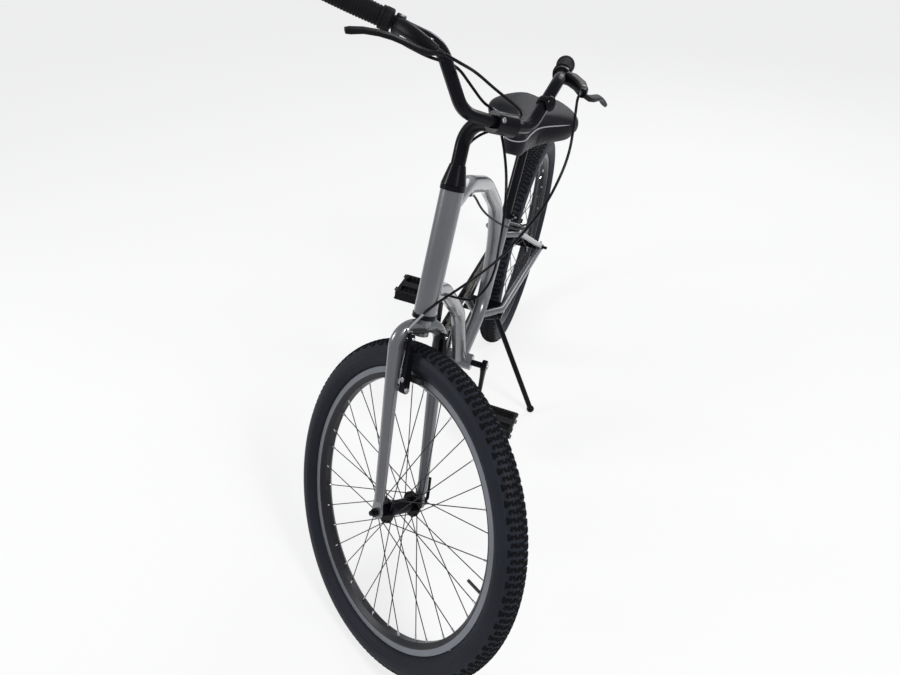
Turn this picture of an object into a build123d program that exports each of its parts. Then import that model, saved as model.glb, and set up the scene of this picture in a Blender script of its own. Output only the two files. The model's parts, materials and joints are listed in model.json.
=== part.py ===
from build123d import *
import math
import os

# Crank-forward cruiser bicycle, parked on its side stand with the bar turned left.
# All lengths are millimetres. The bicycle is modelled upright in a bike frame: +X forward,
# +Y to the rider's left, +Z up, with the rear axle above the origin. Steered pieces are
# modelled in a steering frame: +X ahead of the steering axis, +Y left, +Z up that axis.
# At the end everything is leaned onto the side stand and set on the ground.

# Shares of other sizes
cable_bend_share = 0.45
post_bore_share = 1.2
dropout_bridge_share = 1.4
dropout_height_share = 1.2
fork_drop_share = 0.8
saddle_wing_share = 0.24
saddle_neck_share = 0.62
saddle_waist_share = 1.5
saddle_taper_share = -0.1
guard_tail_share = 0.5
tooth_shares = ((0.0, 0), (0.3, 0), (0.5, 1), (0.8, 1))
bell_share = 0.5
arch_stop_share = 0.168
down_stop_share = 0.112

# Sizes shared by several pieces
fit_gap = 0.3
run_gap = 0.5
cut_overrun = 5.0

# Wheels
tyre_r = 340.0
tyre_width = 60.0
tyre_depth = 55.0
rim_seat_depth = 9.0
rim_shoulder_depth = 15.0
rim_inner_depth = 23.0
rim_edge_r = tyre_r - tyre_depth
rim_seat_r = rim_edge_r - rim_seat_depth
rim_shoulder_r = rim_edge_r - rim_shoulder_depth
rim_inner_r = rim_edge_r - rim_inner_depth
rim_width = 30.0
rim_flange = 2.5
rim_crown_width = 14.0
spoke_count = 36
spoke_r = 1.0
spoke_crossings = 3
spoke_splay = 1.6
flange_wall = 3.5
flange_rim = 3.5
hub_barrel_r = 15.0
axle_r = 5.0
axle_end_r = 4.7
axle_end = 12.0
nut_wall = 8.0
nut_r = 8.5
washer_r = 10.0
washer_wall = 1.6
front_flange_r = 26.0
front_flange_y = 33.0
front_hub_half = 45.0
rear_flange_r = 29.0
rear_flange_y = 32.0
rear_hub_half = 62.0
valve_r = 3.0
valve_length = 38.0

# Bicycle layout. Its places are written for one tyre radius, and move on and up with a larger tyre
layout_tyre_r = 340.0
tyre_growth = tyre_r - layout_tyre_r
tyre_space = 500.0
wheelbase = tyre_r * 2 + tyre_space
head_angle = 69.5
fork_offset = 50.0
steer_angle = 55.0
lean_angle = 8.0
bracket_ahead = 280.0
bracket_drop = 35.0
bracket_x = tyre_r + bracket_ahead
bracket_z = tyre_r - bracket_drop

# Steering frame heights along the steering axis
crown_gap = 30.0
crown_z = tyre_r + crown_gap
head_over_crown = 26.0
head_length = 236.0
head_low = crown_z + head_over_crown
head_high = head_low + head_length
head_tube_r = 22.0
head_tube_wall = 3.0
cup_height = 9.0
cup_flare = 1.5
steerer_r = 14.3
race_gap = 1.0

# Main frame tubes
arch_tube_r = 18.0
down_tube_r = 17.0
seat_tube_r = 16.5
seat_tube_wall = 2.6
stay_r = 10.0
seat_stay_r = 8.0
bracket_r = 21.0
bracket_half = 35.0
arch_join_drop = 32.0
down_join_rise = 36.0
arch_crest_back = (-111.0, -0.5)
arch_shoulder = (640.0, 812.0)
arch_waist = (474.0, 680.0)
arch_back = (412.0, 530.0)
arch_heel = (428.0, 352.0)
arch_bends = (150.0, 260.0, 260.0, 300.0, 95.0)
down_neck_back = (-110.0, -55.0)
down_belly = (718.0, 520.0)
down_bends = (90.0, 170.0)
seat_foot = (430.0, 376.0)
seat_top = (318.0, 592.0)

# Rear triangle
dropout_y = 67.5
dropout_wall = 6.0
dropout_r = 17.0
chain_stay_root = (466.0, 6.0, 350.0)
chain_stay_elbow = (402.0, 50.0, 340.0)
chain_stay_tip = (24.0, 72.0, 341.0)
chain_stay_bend = 40.0
seat_stay_root = (346.0, 5.0, 538.0)
seat_stay_elbow = (300.0, 47.0, 530.0)
seat_stay_tip = (18.0, 72.0, 352.0)
seat_stay_bend = 24.0

# Fork
blade_r = 14.0
blade_tip_r = 10.5
blade_y = 54.0
knee_under_crown = 40.0
blade_knee_z = crown_z - knee_under_crown
crown_bend = 36.0
knee_bend = 45.0
knee_run = 34.0
crown_block_r = 16.0
crown_block_drop = 18.0
crown_block_low = crown_z - crown_block_drop
fork_drop_y = 50.0
fork_drop_wall = 6.0
fork_drop_r = 14.0
blade_stop = 26.0
boss_r = 7.0

# Stem and bar, in the steering frame
cover_height = 36.0
cover_top_r = 15.0
stem_r = 13.5
stem_rise = 120.0
stem_elbow_z = head_high + stem_rise
stem_bend = 46.0
clamp_x = 88.0
clamp_rise = 132.0
clamp_z = head_high + clamp_rise
clamp_r = 19.0
clamp_half = 24.0
bar_clamp_run = 8.0
bar_r = 11.1
bar_low_rise = 136.0
bar_high_rise = 226.0
bar_tip_rise = 270.0
bar_low = (78.0, 62.0, head_high + bar_low_rise)
bar_high = (58.0, 140.0, head_high + bar_high_rise)
bar_tip = (-86.0, 305.0, head_high + bar_tip_rise)
bar_low_bend = 45.0
bar_high_bend = 48.0
grip_r = 16.0
grip_length = 128.0
grip_end_r = 19.0
grip_end = 5.0

# Hand controls, along the grip from its inner end
lever_clamp_r = 16.0
lever_clamp_width = 14.0
lever_back = 25.0
lever_reach = 44.0
lever_length = 122.0
lever_bend_reach = 62.0
lever_tip_reach = 50.0
lever_bend = 50.0
lever_r = 5.5
lever_perch_r = 9.0
cable_lead_x = 32.0
cable_lead = 26.0
shifter_r = 18.5
shifter_width = 13.0
bell_r = 17.0

# Cantilever rim brakes, in a brake frame: X out from the stays, Z away from the axle
brake_post_depth = 29.0
brake_post_reach = rim_edge_r - brake_post_depth
brake_post_y = 44.0
brake_arm_height = 102.0
brake_arm_y = 39.5
brake_arm_width = 12.0
brake_arm_wall = 8.0
brake_offset_front = 31.0
brake_offset_rear = 20.0
pad_length = 54.0
pad_height = 10.0
pad_gap = 5.0
pad_wall = 11.0
pad_stud_r = 3.0
pad_depth = 8.0
pad_r_centre = rim_edge_r - pad_depth
link_r = 2.6
boot_r = 4.2
boot_length = 40.0
wire_r = 0.8
noodle_bend = 12.0
noodle_rise = 30.0
noodle_reach = 14.0

# Seat
post_r = 13.6
post_depth = 90.0
post_rise = 190.0
seat_clamp_height = 16.0
seat_clamp_wall = 5.0
seat_ear_reach = 15.0
seat_ear_half = 6.0
seat_bolt_r = 2.5
seat_cam_r = 6.5
seat_cam_wall = 12.0
seat_lever_length = 46.0
seat_lever_r = 3.5
saddle_back_x = 118.0
saddle_nose_x = 412.0
saddle_half = 128.0
saddle_nose_half = 30.0
saddle_rise = 292.0
saddle_depth = 66.0
saddle_edge = 20.0
saddle_base_wall = 8.0
rail_r = 3.5
rail_y = 22.0
rail_rise = 190.0
rail_back_x = 152.0
rail_back_y = 48.0
rail_flat_back_x = 190.0
rail_flat_front_x = 286.0
rail_nose_x = 366.0
rail_nose_y = 9.0
rail_bend = 14.0
rail_clamp_r = 15.0
rail_clamp_wall = 6.0
rail_clamp_half = 30.0

# Crank, chain and sprockets
chain_pitch = 12.7
ring_teeth = 42
sprocket_teeth = 18
chain_y = -46.0
chain_width = 7.0
chain_pin_half = 4.3
chain_waist_half = 3.1
ring_wall = 4.0
tooth_height = 4.0
ring_rim = 13.0
ring_hub_r = 30.0
ring_arms = 5
ring_arm_width = 16.0
crank_length = 170.0
crank_y = 62.0
crank_wall = 13.0
crank_boss_r = 16.0
crank_eye_r = 12.5
crank_angle = -90.0
spindle_r = 8.0
pedal_axle_r = 5.0
pedal_length = 96.0
pedal_depth = 84.0
pedal_height = 24.0
pedal_barrel_r = 11.0
pedal_rail = 7.0
pedal_gap = 6.0

# Chain guard
guard_y = -55.0
guard_wall = 2.5
guard_front_r = 108.0
guard_band_top = 404.0
guard_band_low = 352.0
guard_back_x = 92.0
guard_clip_x = 230.0
guard_clip_width = 14.0
guard_clip_wall = 2.4
guard_tab_height = 9.0
guard_boss_x = 520.0
guard_boss_z = 330.0
guard_boss_r = 5.0
guard_hole_gap = 5.0

# Side stand
stand_x = 386.0
stand_z = 306.0
stand_y = 34.0
stand_leg_r = 7.5
stand_knuckle_r = 13.0
stand_tilt = 20.0
stand_foot_x = 424.0
stand_foot_y = 196.0
stand_foot_r = 11.0
stand_plate_length = 66.0
stand_plate_half = 56.0
stand_plate_wall = 8.0
stand_housing = 22.0
stand_pin_r = 5.0
stand_cap_r = 6.5
stand_neck_r = 7.0
stand_cap_wall = 3.0
stand_leg_start = 9.0

# Cables and their stops: routes are lists of points, chosen by hand
cable_r = 2.5
stop_r = 4.5
stop_length = 14.0
stop_sink = 1.0
front_cable_places = (
    (100, 160, 822), (124, 142, 762), (134, 124, 700), (132, 104, 640), (118, 78, 584),
    (92, 44, 536), (60, 4, 494), (34, -28, 458),
)
brake_bar_places = (
    (88, -122, 834), (84, -84, 820), (66, -52, 800), (46, -38, 764), (34, -40, 716),
)
brake_head_places = (
    (908, -20, 980), (888, -36, 944), (874, -36, 908), (858, -32, 880), (840, -22, 858), (814, -8, 852),
)
gear_bar_places = (
    (26, -188, 806), (60, -152, 808), (90, -108, 824), (100, -64, 828), (122, -30, 814),
    (150, -22, 786), (160, -38, 743), (158, -40, 688), (142, -12, 636),
)
gear_head_places = (
    (962, 112, 892), (930, 106, 836), (912, 104, 780), (914, 96, 736), (920, 76, 702),
)
rear_cable_places = (
    (672, 6, 776), (622, 14, 728), (566, 22, 694), (506, 32, 662), (444, 42, 634),
)


def rod(start, end, radius):
    """Solid round bar between two points."""
    line = Vector(end) - Vector(start)
    place = Plane(origin=start, z_dir=line).location
    return place * Cylinder(radius, line.length, align=(Align.CENTER, Align.CENTER, Align.MIN))


def cross_rod(x, z, y_low, y_high, radius):
    """Solid round bar across the bicycle."""
    return rod((x, y_low, z), (x, y_high, z), radius)


def bent_rod(points, bends, radius):
    """Round bar along straight runs joined by tangent arcs."""
    path = FilletPolyline(*points, radius=bends)
    section = Plane(origin=path @ 0, z_dir=path % 0) * Circle(radius)
    return sweep(section, path=path)


def cable_bends(points):
    """Largest tangent arc that each corner of a cable's route leaves room for."""
    bends = []
    for before, here, after in zip(points, points[1:], points[2:]):
        run_in = Vector(here) - Vector(before)
        run_out = Vector(after) - Vector(here)
        half_turn = math.radians(run_in.get_angle(run_out) / 2)
        bends.append(cable_bend_share * min(run_in.length, run_out.length) / math.tan(half_turn))
    return bends


def cable(points):
    """Cable housing along a route, with the widest bends the route allows."""
    bends = cable_bends(points)
    print("cable bends", [round(bend) for bend in bends])
    return bent_rod(points, bends, cable_r)


def mirrored(solid):
    """The same piece on the other side of the bicycle's middle plane."""
    return mirror(solid, about=Plane.XZ)


def flat_plate(outline, y_centre, wall):
    """Plate of an outline drawn in X and Z, standing across Y."""
    return Plane.XZ.offset(-y_centre - wall / 2).location * extrude(outline, wall)


# Places worked out from the layout
head_lean = math.radians(head_angle)
steer_up = Vector(-math.cos(head_lean), 0, math.sin(head_lean))
steer_ahead = Vector(math.sin(head_lean), 0, math.cos(head_lean))
front_hub = Vector(wheelbase, 0, tyre_r)
rear_hub = Vector(0, 0, tyre_r)
steer_origin = front_hub - steer_ahead * fork_offset
head_frame = Plane(origin=steer_origin, x_dir=steer_ahead, z_dir=steer_up)
turned_place = head_frame.location * Rotation(0, 0, steer_angle)
bracket = Vector(bracket_x, 0, bracket_z)
ring_r = chain_pitch / (2 * math.sin(math.pi / ring_teeth))
sprocket_r = chain_pitch / (2 * math.sin(math.pi / sprocket_teeth))


def on_steering_axis(height):
    return steer_origin + steer_up * height


# Wheel, in a wheel frame: the axle along Y, through the origin
def make_rim():
    half = rim_width / 2
    inner = half - rim_flange
    crown = rim_crown_width / 2
    outline = Polyline(
        (rim_edge_r, half), (rim_edge_r, inner), (rim_seat_r, inner), (rim_seat_r, -inner),
        (rim_edge_r, -inner), (rim_edge_r, -half), (rim_shoulder_r, -half), (rim_inner_r, -crown),
        (rim_inner_r, crown), (rim_shoulder_r, half), close=True,
    )
    rim = revolve(make_face(outline), Axis.Y)
    valve = rod((rim_inner_r - valve_length, 0, 0), (rim_shoulder_r, 0, 0), valve_r)
    return rim + Rotation(0, 180 / spoke_count, 0) * valve


def make_tyre():
    section_r = tyre_width / 2
    bead = rim_width / 2 - rim_flange - fit_gap
    shoulder_x = rim_edge_r + fit_gap
    centre_x = tyre_r - section_r
    shoulder_y = math.sqrt(section_r**2 - (centre_x - shoulder_x) ** 2)
    seat_x = rim_seat_r + fit_gap
    edges = [
        Line((seat_x, -bead), (shoulder_x, -bead)),
        Line((shoulder_x, -bead), (shoulder_x, -shoulder_y)),
        ThreePointArc((shoulder_x, -shoulder_y), (tyre_r, 0), (shoulder_x, shoulder_y)),
        Line((shoulder_x, shoulder_y), (shoulder_x, bead)),
        Line((shoulder_x, bead), (seat_x, bead)),
        Line((seat_x, bead), (seat_x, -bead)),
    ]
    return revolve(make_face(Wire(edges)), Axis.Y)


def make_hub(flange_r, flange_y, half):
    inner = flange_y - flange_wall / 2
    outer = flange_y + flange_wall / 2
    collar_r = hub_barrel_r - flange_wall
    outline = Polyline(
        (axle_r + fit_gap, -half), (collar_r, -half), (collar_r, -outer), (flange_r, -outer),
        (flange_r, -inner), (hub_barrel_r, -inner), (hub_barrel_r, inner),
        (flange_r, inner), (flange_r, outer), (collar_r, outer), (collar_r, half),
        (axle_r + fit_gap, half), close=True,
    )
    return revolve(make_face(outline), Axis.Y)


def make_spokes(flange_r, flange_y):
    """Crossed spokes: each flange carries leading spokes outside and trailing ones inside."""
    hole_r = flange_r - flange_rim
    per_flange = spoke_count // 2
    step = 360 / per_flange
    sweep_angle = spoke_crossings * step
    face = flange_wall / 2 + spoke_r + fit_gap
    rim_end = rim_inner_r - fit_gap
    spokes = []
    for side in (1, -1):
        for index in range(per_flange):
            leading = 1 if index % 2 else -1
            hub_angle = math.radians(index * step + (step / 2 if side < 0 else 0))
            rim_angle = hub_angle + math.radians(leading * sweep_angle)
            splay = spoke_splay if leading > 0 else 0
            hub_y = side * (flange_y + leading * (face + splay))
            rim_y = side * rim_crown_width / 4
            start = (hole_r * math.cos(hub_angle), hub_y, hole_r * math.sin(hub_angle))
            end = (rim_end * math.cos(rim_angle), rim_y, rim_end * math.sin(rim_angle))
            spokes.append(rod(start, end, spoke_r))
    return spokes


def toothed_disc(pitch_r, teeth, wall):
    """Toothed plate under the chain's rollers, in X and Z with its middle on Y zero."""
    tip_r = pitch_r - chain_pin_half - run_gap
    root_r = tip_r - tooth_height
    points = []
    for tooth in range(teeth):
        for share, raised in tooth_shares:
            radius = root_r + raised * tooth_height
            angle = 2 * math.pi * (tooth + share) / teeth
            points.append((radius * math.cos(angle), radius * math.sin(angle)))
    return flat_plate(make_face(Polyline(*points, close=True)), 0, wall), root_r


# Frame tubes, in the bike frame
def laid_out(place):
    """Place of the layout, moved on and up with the tyre."""
    return Vector(place) + Vector(tyre_growth, 0, tyre_growth)


def mid_point(place):
    return laid_out((place[0], 0, place[1]))


def make_head_tube():
    height = head_high - head_low
    outer = Cylinder(head_tube_r, height, align=(Align.CENTER, Align.CENTER, Align.MIN))
    bore = Cylinder(head_tube_r - head_tube_wall, height, align=(Align.CENTER, Align.CENTER, Align.MIN))
    return head_frame.location * Pos(0, 0, head_low) * (outer - bore)


def head_core():
    height = head_high - head_low
    core = Cylinder(head_tube_r, height, align=(Align.CENTER, Align.CENTER, Align.MIN))
    return head_frame.location * Pos(0, 0, head_low) * core


def bracket_core():
    return cross_rod(bracket_x, bracket_z, -bracket_half, bracket_half, bracket_r)


def arch_route():
    start = on_steering_axis(head_high - arch_join_drop)
    crest = start + Vector(arch_crest_back[0], 0, arch_crest_back[1])
    return [
        start, crest, mid_point(arch_shoulder), mid_point(arch_waist),
        mid_point(arch_back), mid_point(arch_heel), bracket,
    ]


def down_route():
    start = on_steering_axis(head_low + down_join_rise)
    neck = start + Vector(down_neck_back[0], 0, down_neck_back[1])
    return [start, neck, mid_point(down_belly), bracket]


def arch_stop():
    """Back and front end of the cable stop that is sunk into the arch tube's underside."""
    path = FilletPolyline(*arch_route(), radius=list(arch_bends))
    ahead = path % arch_stop_share * -1
    below = Vector(ahead.Z, 0, -ahead.X)
    middle = path @ arch_stop_share + below * (arch_tube_r + stop_r - stop_sink)
    return middle - ahead * (stop_length / 2), middle + ahead * (stop_length / 2), ahead


def down_stop():
    """Root and outer end of the cable boss on the down tube's left side."""
    path = FilletPolyline(*down_route(), radius=list(down_bends))
    root = path @ down_stop_share
    return root, root + Vector(0, down_tube_r + stop_length / 2, 0)


def make_arch_tube():
    tube = bent_rod(arch_route(), list(arch_bends), arch_tube_r)
    back, front, _ = arch_stop()
    return tube + rod(back, front, stop_r) - head_core() - bracket_core()


def make_down_tube(arch):
    tube = bent_rod(down_route(), list(down_bends), down_tube_r)
    return tube + rod(*down_stop(), stop_r) - head_core() - bracket_core() - arch


def make_bracket_shell():
    bore = cross_rod(bracket_x, bracket_z, -bracket_half, bracket_half, spindle_r + fit_gap)
    return bracket_core() - bore


def make_seat_tube(arch):
    solid = rod(mid_point(seat_foot), mid_point(seat_top), seat_tube_r)
    along = (mid_point(seat_top) - mid_point(seat_foot)).normalized()
    mouth = mid_point(seat_top)
    bore = rod(mouth - along * post_depth * post_bore_share, mouth, seat_tube_r - seat_tube_wall)
    return solid - arch - bore


def stay_end(place):
    """End of a stay beside the rear axle, which only rises with the tyre."""
    return Vector(place) + Vector(0, 0, tyre_growth)


def make_chain_stay(arch):
    route = [laid_out(chain_stay_root), laid_out(chain_stay_elbow), stay_end(chain_stay_tip)]
    tube = bent_rod(route, [chain_stay_bend], stay_r)
    plate_y = dropout_y + dropout_wall / 2
    outline = Pos(0, tyre_r) * Circle(dropout_r)
    bridge = Pos(stay_r * dropout_bridge_share, tyre_r) * Rectangle(
        dropout_r * 2, dropout_r * dropout_height_share)
    plate = flat_plate(outline + bridge, plate_y, dropout_wall)
    slot = cross_rod(0, tyre_r, 0, plate_y * 2, axle_r + fit_gap)
    return tube - arch + plate - slot


def rear_brake_frame():
    """Brake frame of the rear wheel, along the seat stays and outward to their upper side."""
    run = laid_out(seat_stay_elbow) - stay_end(seat_stay_tip)
    toward = Vector(run.X, 0, run.Z).normalized()
    return brake_frame(rear_hub, toward, Vector(-toward.Z, 0, toward.X))


def make_seat_stay(seat_tube_solid, chain_stay):
    route = [laid_out(seat_stay_root), laid_out(seat_stay_elbow), stay_end(seat_stay_tip)]
    tube = bent_rod(route, [seat_stay_bend], seat_stay_r)
    post = rear_brake_frame().location * mirrored(make_brake_post(brake_offset_rear, seat_stay_r))
    return tube + post - seat_tube_solid - chain_stay


def make_stand_bracket():
    """Plate under the chain stays with the housing and pin that the side stand turns on."""
    top = laid_out(chain_stay_elbow).Z - stay_r - fit_gap
    pivot = stand_pivot()
    plate = Pos(pivot.X, 0, top - stand_plate_wall / 2) * Box(
        stand_plate_length, stand_plate_half * 2, stand_plate_wall)
    axis = stand_axis()
    inner = pivot - axis * (stand_leg_r + run_gap)
    outer = pivot + axis * (stand_leg_r + run_gap)
    housing = rod(inner - axis * stand_housing, inner, stand_knuckle_r)
    under = top - stand_plate_wall / 2
    back = inner - axis * (stand_housing - stand_neck_r)
    neck = rod((back.X, back.Y, back.Z), (back.X, back.Y, under), stand_neck_r)
    pin = rod(inner, outer, stand_pin_r)
    cap = rod(outer, outer + axis * stand_cap_wall, stand_cap_r)
    return plate + housing + neck + pin + cap


def brake_frame(axle, toward, outward):
    """Plane with Z from the axle toward the brake and X outward from the stays."""
    return Plane(origin=axle, x_dir=outward, z_dir=toward)


def make_brake_arm(offset):
    """Left arm with its pad, in the brake frame."""
    pad_z = math.sqrt(pad_r_centre**2 - offset**2)
    top = brake_post_reach + brake_arm_height
    outline = make_hull([
        *(Pos(brake_post_y, brake_post_reach) * Circle(brake_arm_wall)).edges(),
        *(Pos(brake_arm_y, top) * Circle(brake_arm_wall / 2)).edges(),
    ])
    arm = Plane.YZ.offset(offset - brake_arm_width / 2).location * extrude(outline, brake_arm_width)
    pad_in = rim_width / 2 + pad_gap
    pad_out = pad_in + pad_wall
    pad = Pos(offset, pad_in + pad_wall / 2, pad_z) * Box(pad_length, pad_wall, pad_height)
    stud = rod((offset, pad_out, pad_z), (offset, brake_arm_y + brake_arm_wall, pad_z), pad_stud_r)
    return arm + stud, pad


def make_brake_link(offset):
    """Cable noodle, boot and wire from arm to arm over the tyre, in the brake frame."""
    height = brake_post_reach + brake_arm_height + brake_arm_wall / 2 + fit_gap + boot_r
    turn_y = -brake_arm_y - noodle_reach
    boot_y = boot_length - brake_arm_y
    noodle = bent_rod(
        [(offset, -brake_arm_y, height), (offset, turn_y, height), (offset, turn_y, height + noodle_rise)],
        [noodle_bend], link_r)
    boot = rod((offset, -brake_arm_y, height), (offset, boot_y, height), boot_r)
    wire = rod((offset, boot_y, height), (offset, brake_arm_y, height), wire_r)
    return noodle + boot + wire


def make_brake_post(offset, depth):
    return rod((offset - brake_arm_width / 2 - depth, brake_post_y, brake_post_reach),
               (offset - brake_arm_width / 2 - fit_gap, brake_post_y, brake_post_reach), boss_r)


def make_rear_axle():
    """Axle with a washer and a nut outside each dropout and a free threaded end."""
    face = dropout_y + dropout_wall
    out = face + nut_wall
    axle = cross_rod(0, tyre_r, -out, out, axle_r)
    for side in (1, -1):
        nut = RegularPolygon(nut_r, 6)
        nut = Pos(0, 0, tyre_r) * flat_plate(nut, side * (face + nut_wall / 2), nut_wall)
        washer = cross_rod(0, tyre_r, side * face, side * (face + washer_wall), washer_r)
        end = cross_rod(0, tyre_r, side * out, side * (out + axle_end), axle_end_r)
        axle = axle + nut + washer + end
    return axle


def make_front_axle():
    """Axle with a nut on the right and the cam lever on the left, in the steering frame."""
    face = fork_drop_y + fork_drop_wall
    out = face + seat_cam_wall
    axle = cross_rod(fork_offset, 0, -face - nut_wall - axle_end / 2, out, axle_r)
    nut = Pos(fork_offset, 0, 0) * flat_plate(RegularPolygon(nut_r, 6), -face - nut_wall / 2, nut_wall)
    cam = cross_rod(fork_offset, 0, face, out, nut_r)
    root = Vector(fork_offset, face + seat_cam_wall / 2, 0)
    elbow = root + Vector(0, seat_cam_wall, seat_lever_r)
    lever = bent_rod([root, elbow, elbow + Vector(-blade_r / 2, 0, seat_lever_length)],
                     [seat_cam_r], seat_lever_r)
    return axle + nut + cam + lever


# Fork, in the steering frame
def blade_places():
    foot = Vector(fork_offset, blade_y, blade_stop)
    knee = Vector(0, blade_y, blade_knee_z)
    down = (foot - knee).normalized()
    return knee, knee + down * knee_run, foot, down


def make_fork():
    knee, start, foot, down = blade_places()
    corner = Vector(0, blade_y, crown_z)

    def other(point):
        return Vector(point.X, -point.Y, point.Z)

    route = [start, knee, corner, other(corner), other(knee), other(start)]
    crown = bent_rod(route, [knee_bend, crown_bend, crown_bend, knee_bend], blade_r)
    upper = Plane(origin=start, z_dir=down) * Circle(blade_r)
    lower = Plane(origin=foot, z_dir=down) * Circle(blade_tip_r)
    blade = loft([upper, lower])
    plate_y = fork_drop_y + fork_drop_wall / 2
    outline = make_hull([
        *(Pos(fork_offset, 0) * Circle(fork_drop_r)).edges(),
        *(Pos(fork_offset - fork_drop_wall, blade_stop + fork_drop_r)
          * Circle(blade_tip_r * fork_drop_share)).edges(),
    ])
    plate = flat_plate(outline, plate_y, fork_drop_wall)
    slot = cross_rod(fork_offset, 0, 0, plate_y * 2, axle_r + fit_gap)
    toward = (knee - foot).normalized()
    ahead = Vector(toward.Z, 0, -toward.X)
    brake = brake_frame((fork_offset, 0, 0), toward, ahead)
    post = brake.location * make_brake_post(brake_offset_front, blade_r)
    leg = blade + plate - slot + post
    block = rod((0, 0, crown_block_low), (0, 0, head_low - cup_height - race_gap), crown_block_r)
    steerer = rod((0, 0, crown_z), (0, 0, head_high + cup_height), steerer_r)
    return crown + leg + mirrored(leg) + block + steerer, brake


def make_stem():
    clamp = cross_rod(clamp_x, clamp_z, -clamp_half, clamp_half, clamp_r)
    bar_hole = cross_rod(clamp_x, clamp_z, -clamp_half, clamp_half, bar_r)
    foot = head_high + cup_height
    route = [(0, 0, foot), (0, 0, stem_elbow_z), (clamp_x, 0, clamp_z)]
    tube = bent_rod(route, [stem_bend], stem_r)
    return tube + clamp - bar_hole


def bar_route():
    left = [Vector(bar_low), Vector(bar_high), Vector(bar_tip)]
    right = [Vector(point.X, -point.Y, point.Z) for point in reversed(left)]
    clamp_left = Vector(clamp_x, clamp_half + bar_clamp_run, clamp_z)
    clamp_right = Vector(clamp_x, -clamp_half - bar_clamp_run, clamp_z)
    return right + [clamp_right, clamp_left] + left


def make_bar():
    bends = [bar_high_bend, bar_low_bend, bar_low_bend, bar_low_bend, bar_low_bend, bar_high_bend]
    return bent_rod(bar_route(), bends, bar_r)


def grip_frame():
    """Plane at the left grip's inner end: Z along the grip, X ahead, Y up."""
    tip = Vector(bar_tip)
    along = (tip - Vector(bar_high)).normalized()
    ahead = Vector(0, 0, 1).cross(along).normalized() * -1
    return Plane(origin=tip - along * grip_length, x_dir=ahead, z_dir=along)


def make_grip():
    sleeve = Cylinder(grip_r, grip_length, align=(Align.CENTER, Align.CENTER, Align.MIN))
    lip = Pos(0, 0, grip_length - grip_end) * Cylinder(
        grip_end_r, grip_end, align=(Align.CENTER, Align.CENTER, Align.MIN))
    bore = Cylinder(bar_r, grip_length, align=(Align.CENTER, Align.CENTER, Align.MIN))
    return grip_frame().location * (sleeve + lip - bore)


def make_lever():
    """Left brake lever with its bar clamp, in the grip frame's sense."""
    clamp = Pos(0, 0, -lever_back) * Cylinder(lever_clamp_r, lever_clamp_width)
    pivot = (lever_reach, 0, -lever_back)
    perch = rod((0, 0, -lever_back), (lever_reach + lever_perch_r, 0, -lever_back), lever_perch_r)
    blade = bent_rod(
        [pivot, (lever_bend_reach, 0, lever_back), (lever_tip_reach, 0, lever_length)],
        [lever_bend], lever_r)
    hole = Pos(0, 0, -lever_back) * Cylinder(bar_r, lever_clamp_width * 2)
    return grip_frame().location * (clamp + perch + blade - hole)


def make_shifter():
    """Left-hand copy of the twist ring between the grip and the brake lever."""
    ring = Cylinder(shifter_r, shifter_width) - Cylinder(bar_r, shifter_width)
    return grip_frame().location * Pos(0, 0, -shifter_width / 2 - fit_gap) * ring


def make_bell():
    """Bell dome on its strap, beside the upper bend of the bar."""
    high = Vector(bar_high)
    low = Vector(bar_low)
    along = (high - low).normalized()
    spot = low + (high - low) * bell_share
    ahead = Vector(1, 0, 0) - along * along.X
    place = Plane(origin=spot, x_dir=ahead, z_dir=along)
    strap = Cylinder(bar_r + rail_clamp_wall / 2, lever_clamp_width) - Cylinder(bar_r, lever_clamp_width)
    dome = Sphere(bell_r) & Pos(0, 0, bell_r) * Box(bell_r * 2, bell_r * 2, bell_r * 2)
    dome = Pos(bar_r + fit_gap, 0, 0) * Rotation(0, 90, 0) * dome
    return place.location * (strap + (dome - Cylinder(bar_r + fit_gap, bell_r * 4)))


# Cables
def lever_exit(side):
    """Where a cable leaves a brake lever towards the middle of the bar, and its next point."""
    grip = grip_frame()
    local_exit = Vector(cable_lead_x, 0, -lever_back - lever_perch_r - fit_gap)
    local_next = local_exit + Vector(0, 0, -cable_lead)
    points = [grip.from_local_coords(point) for point in (local_exit, local_next)]
    return [Vector(point.X, side * point.Y, point.Z) for point in points]


def shifter_exit():
    """Where the gear cable leaves the twist ring, under the right grip, and its next point."""
    grip = grip_frame()
    local_exit = Vector(0, shifter_r + fit_gap, -shifter_width / 2)
    local_next = local_exit + Vector(0, cable_lead, 0)
    points = [grip.from_local_coords(point) for point in (local_exit, local_next)]
    return [Vector(point.X, -point.Y, point.Z) for point in points]


def noodle_mouth(brake, offset):
    """Upper end of a brake's noodle, and the cable's next point straight out of it."""
    height = brake_post_reach + brake_arm_height + brake_arm_wall / 2 + fit_gap + boot_r + noodle_rise
    across = -brake_arm_y - noodle_reach
    mouth = brake.from_local_coords(Vector(offset, across, height))
    return mouth, brake.from_local_coords(Vector(offset, across, height + cable_lead))


def raised(places):
    """Places of the steering frame, moved up with the head tube."""
    return [Vector(place) + Vector(0, 0, tyre_growth) for place in places]


def make_front_brake_cable(brake):
    """From the left lever, in front of the head tube, to the front brake's noodle."""
    mouth, before = noodle_mouth(brake, brake_offset_front)
    return cable([*lever_exit(1), *raised(front_cable_places), before, mouth])


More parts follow.
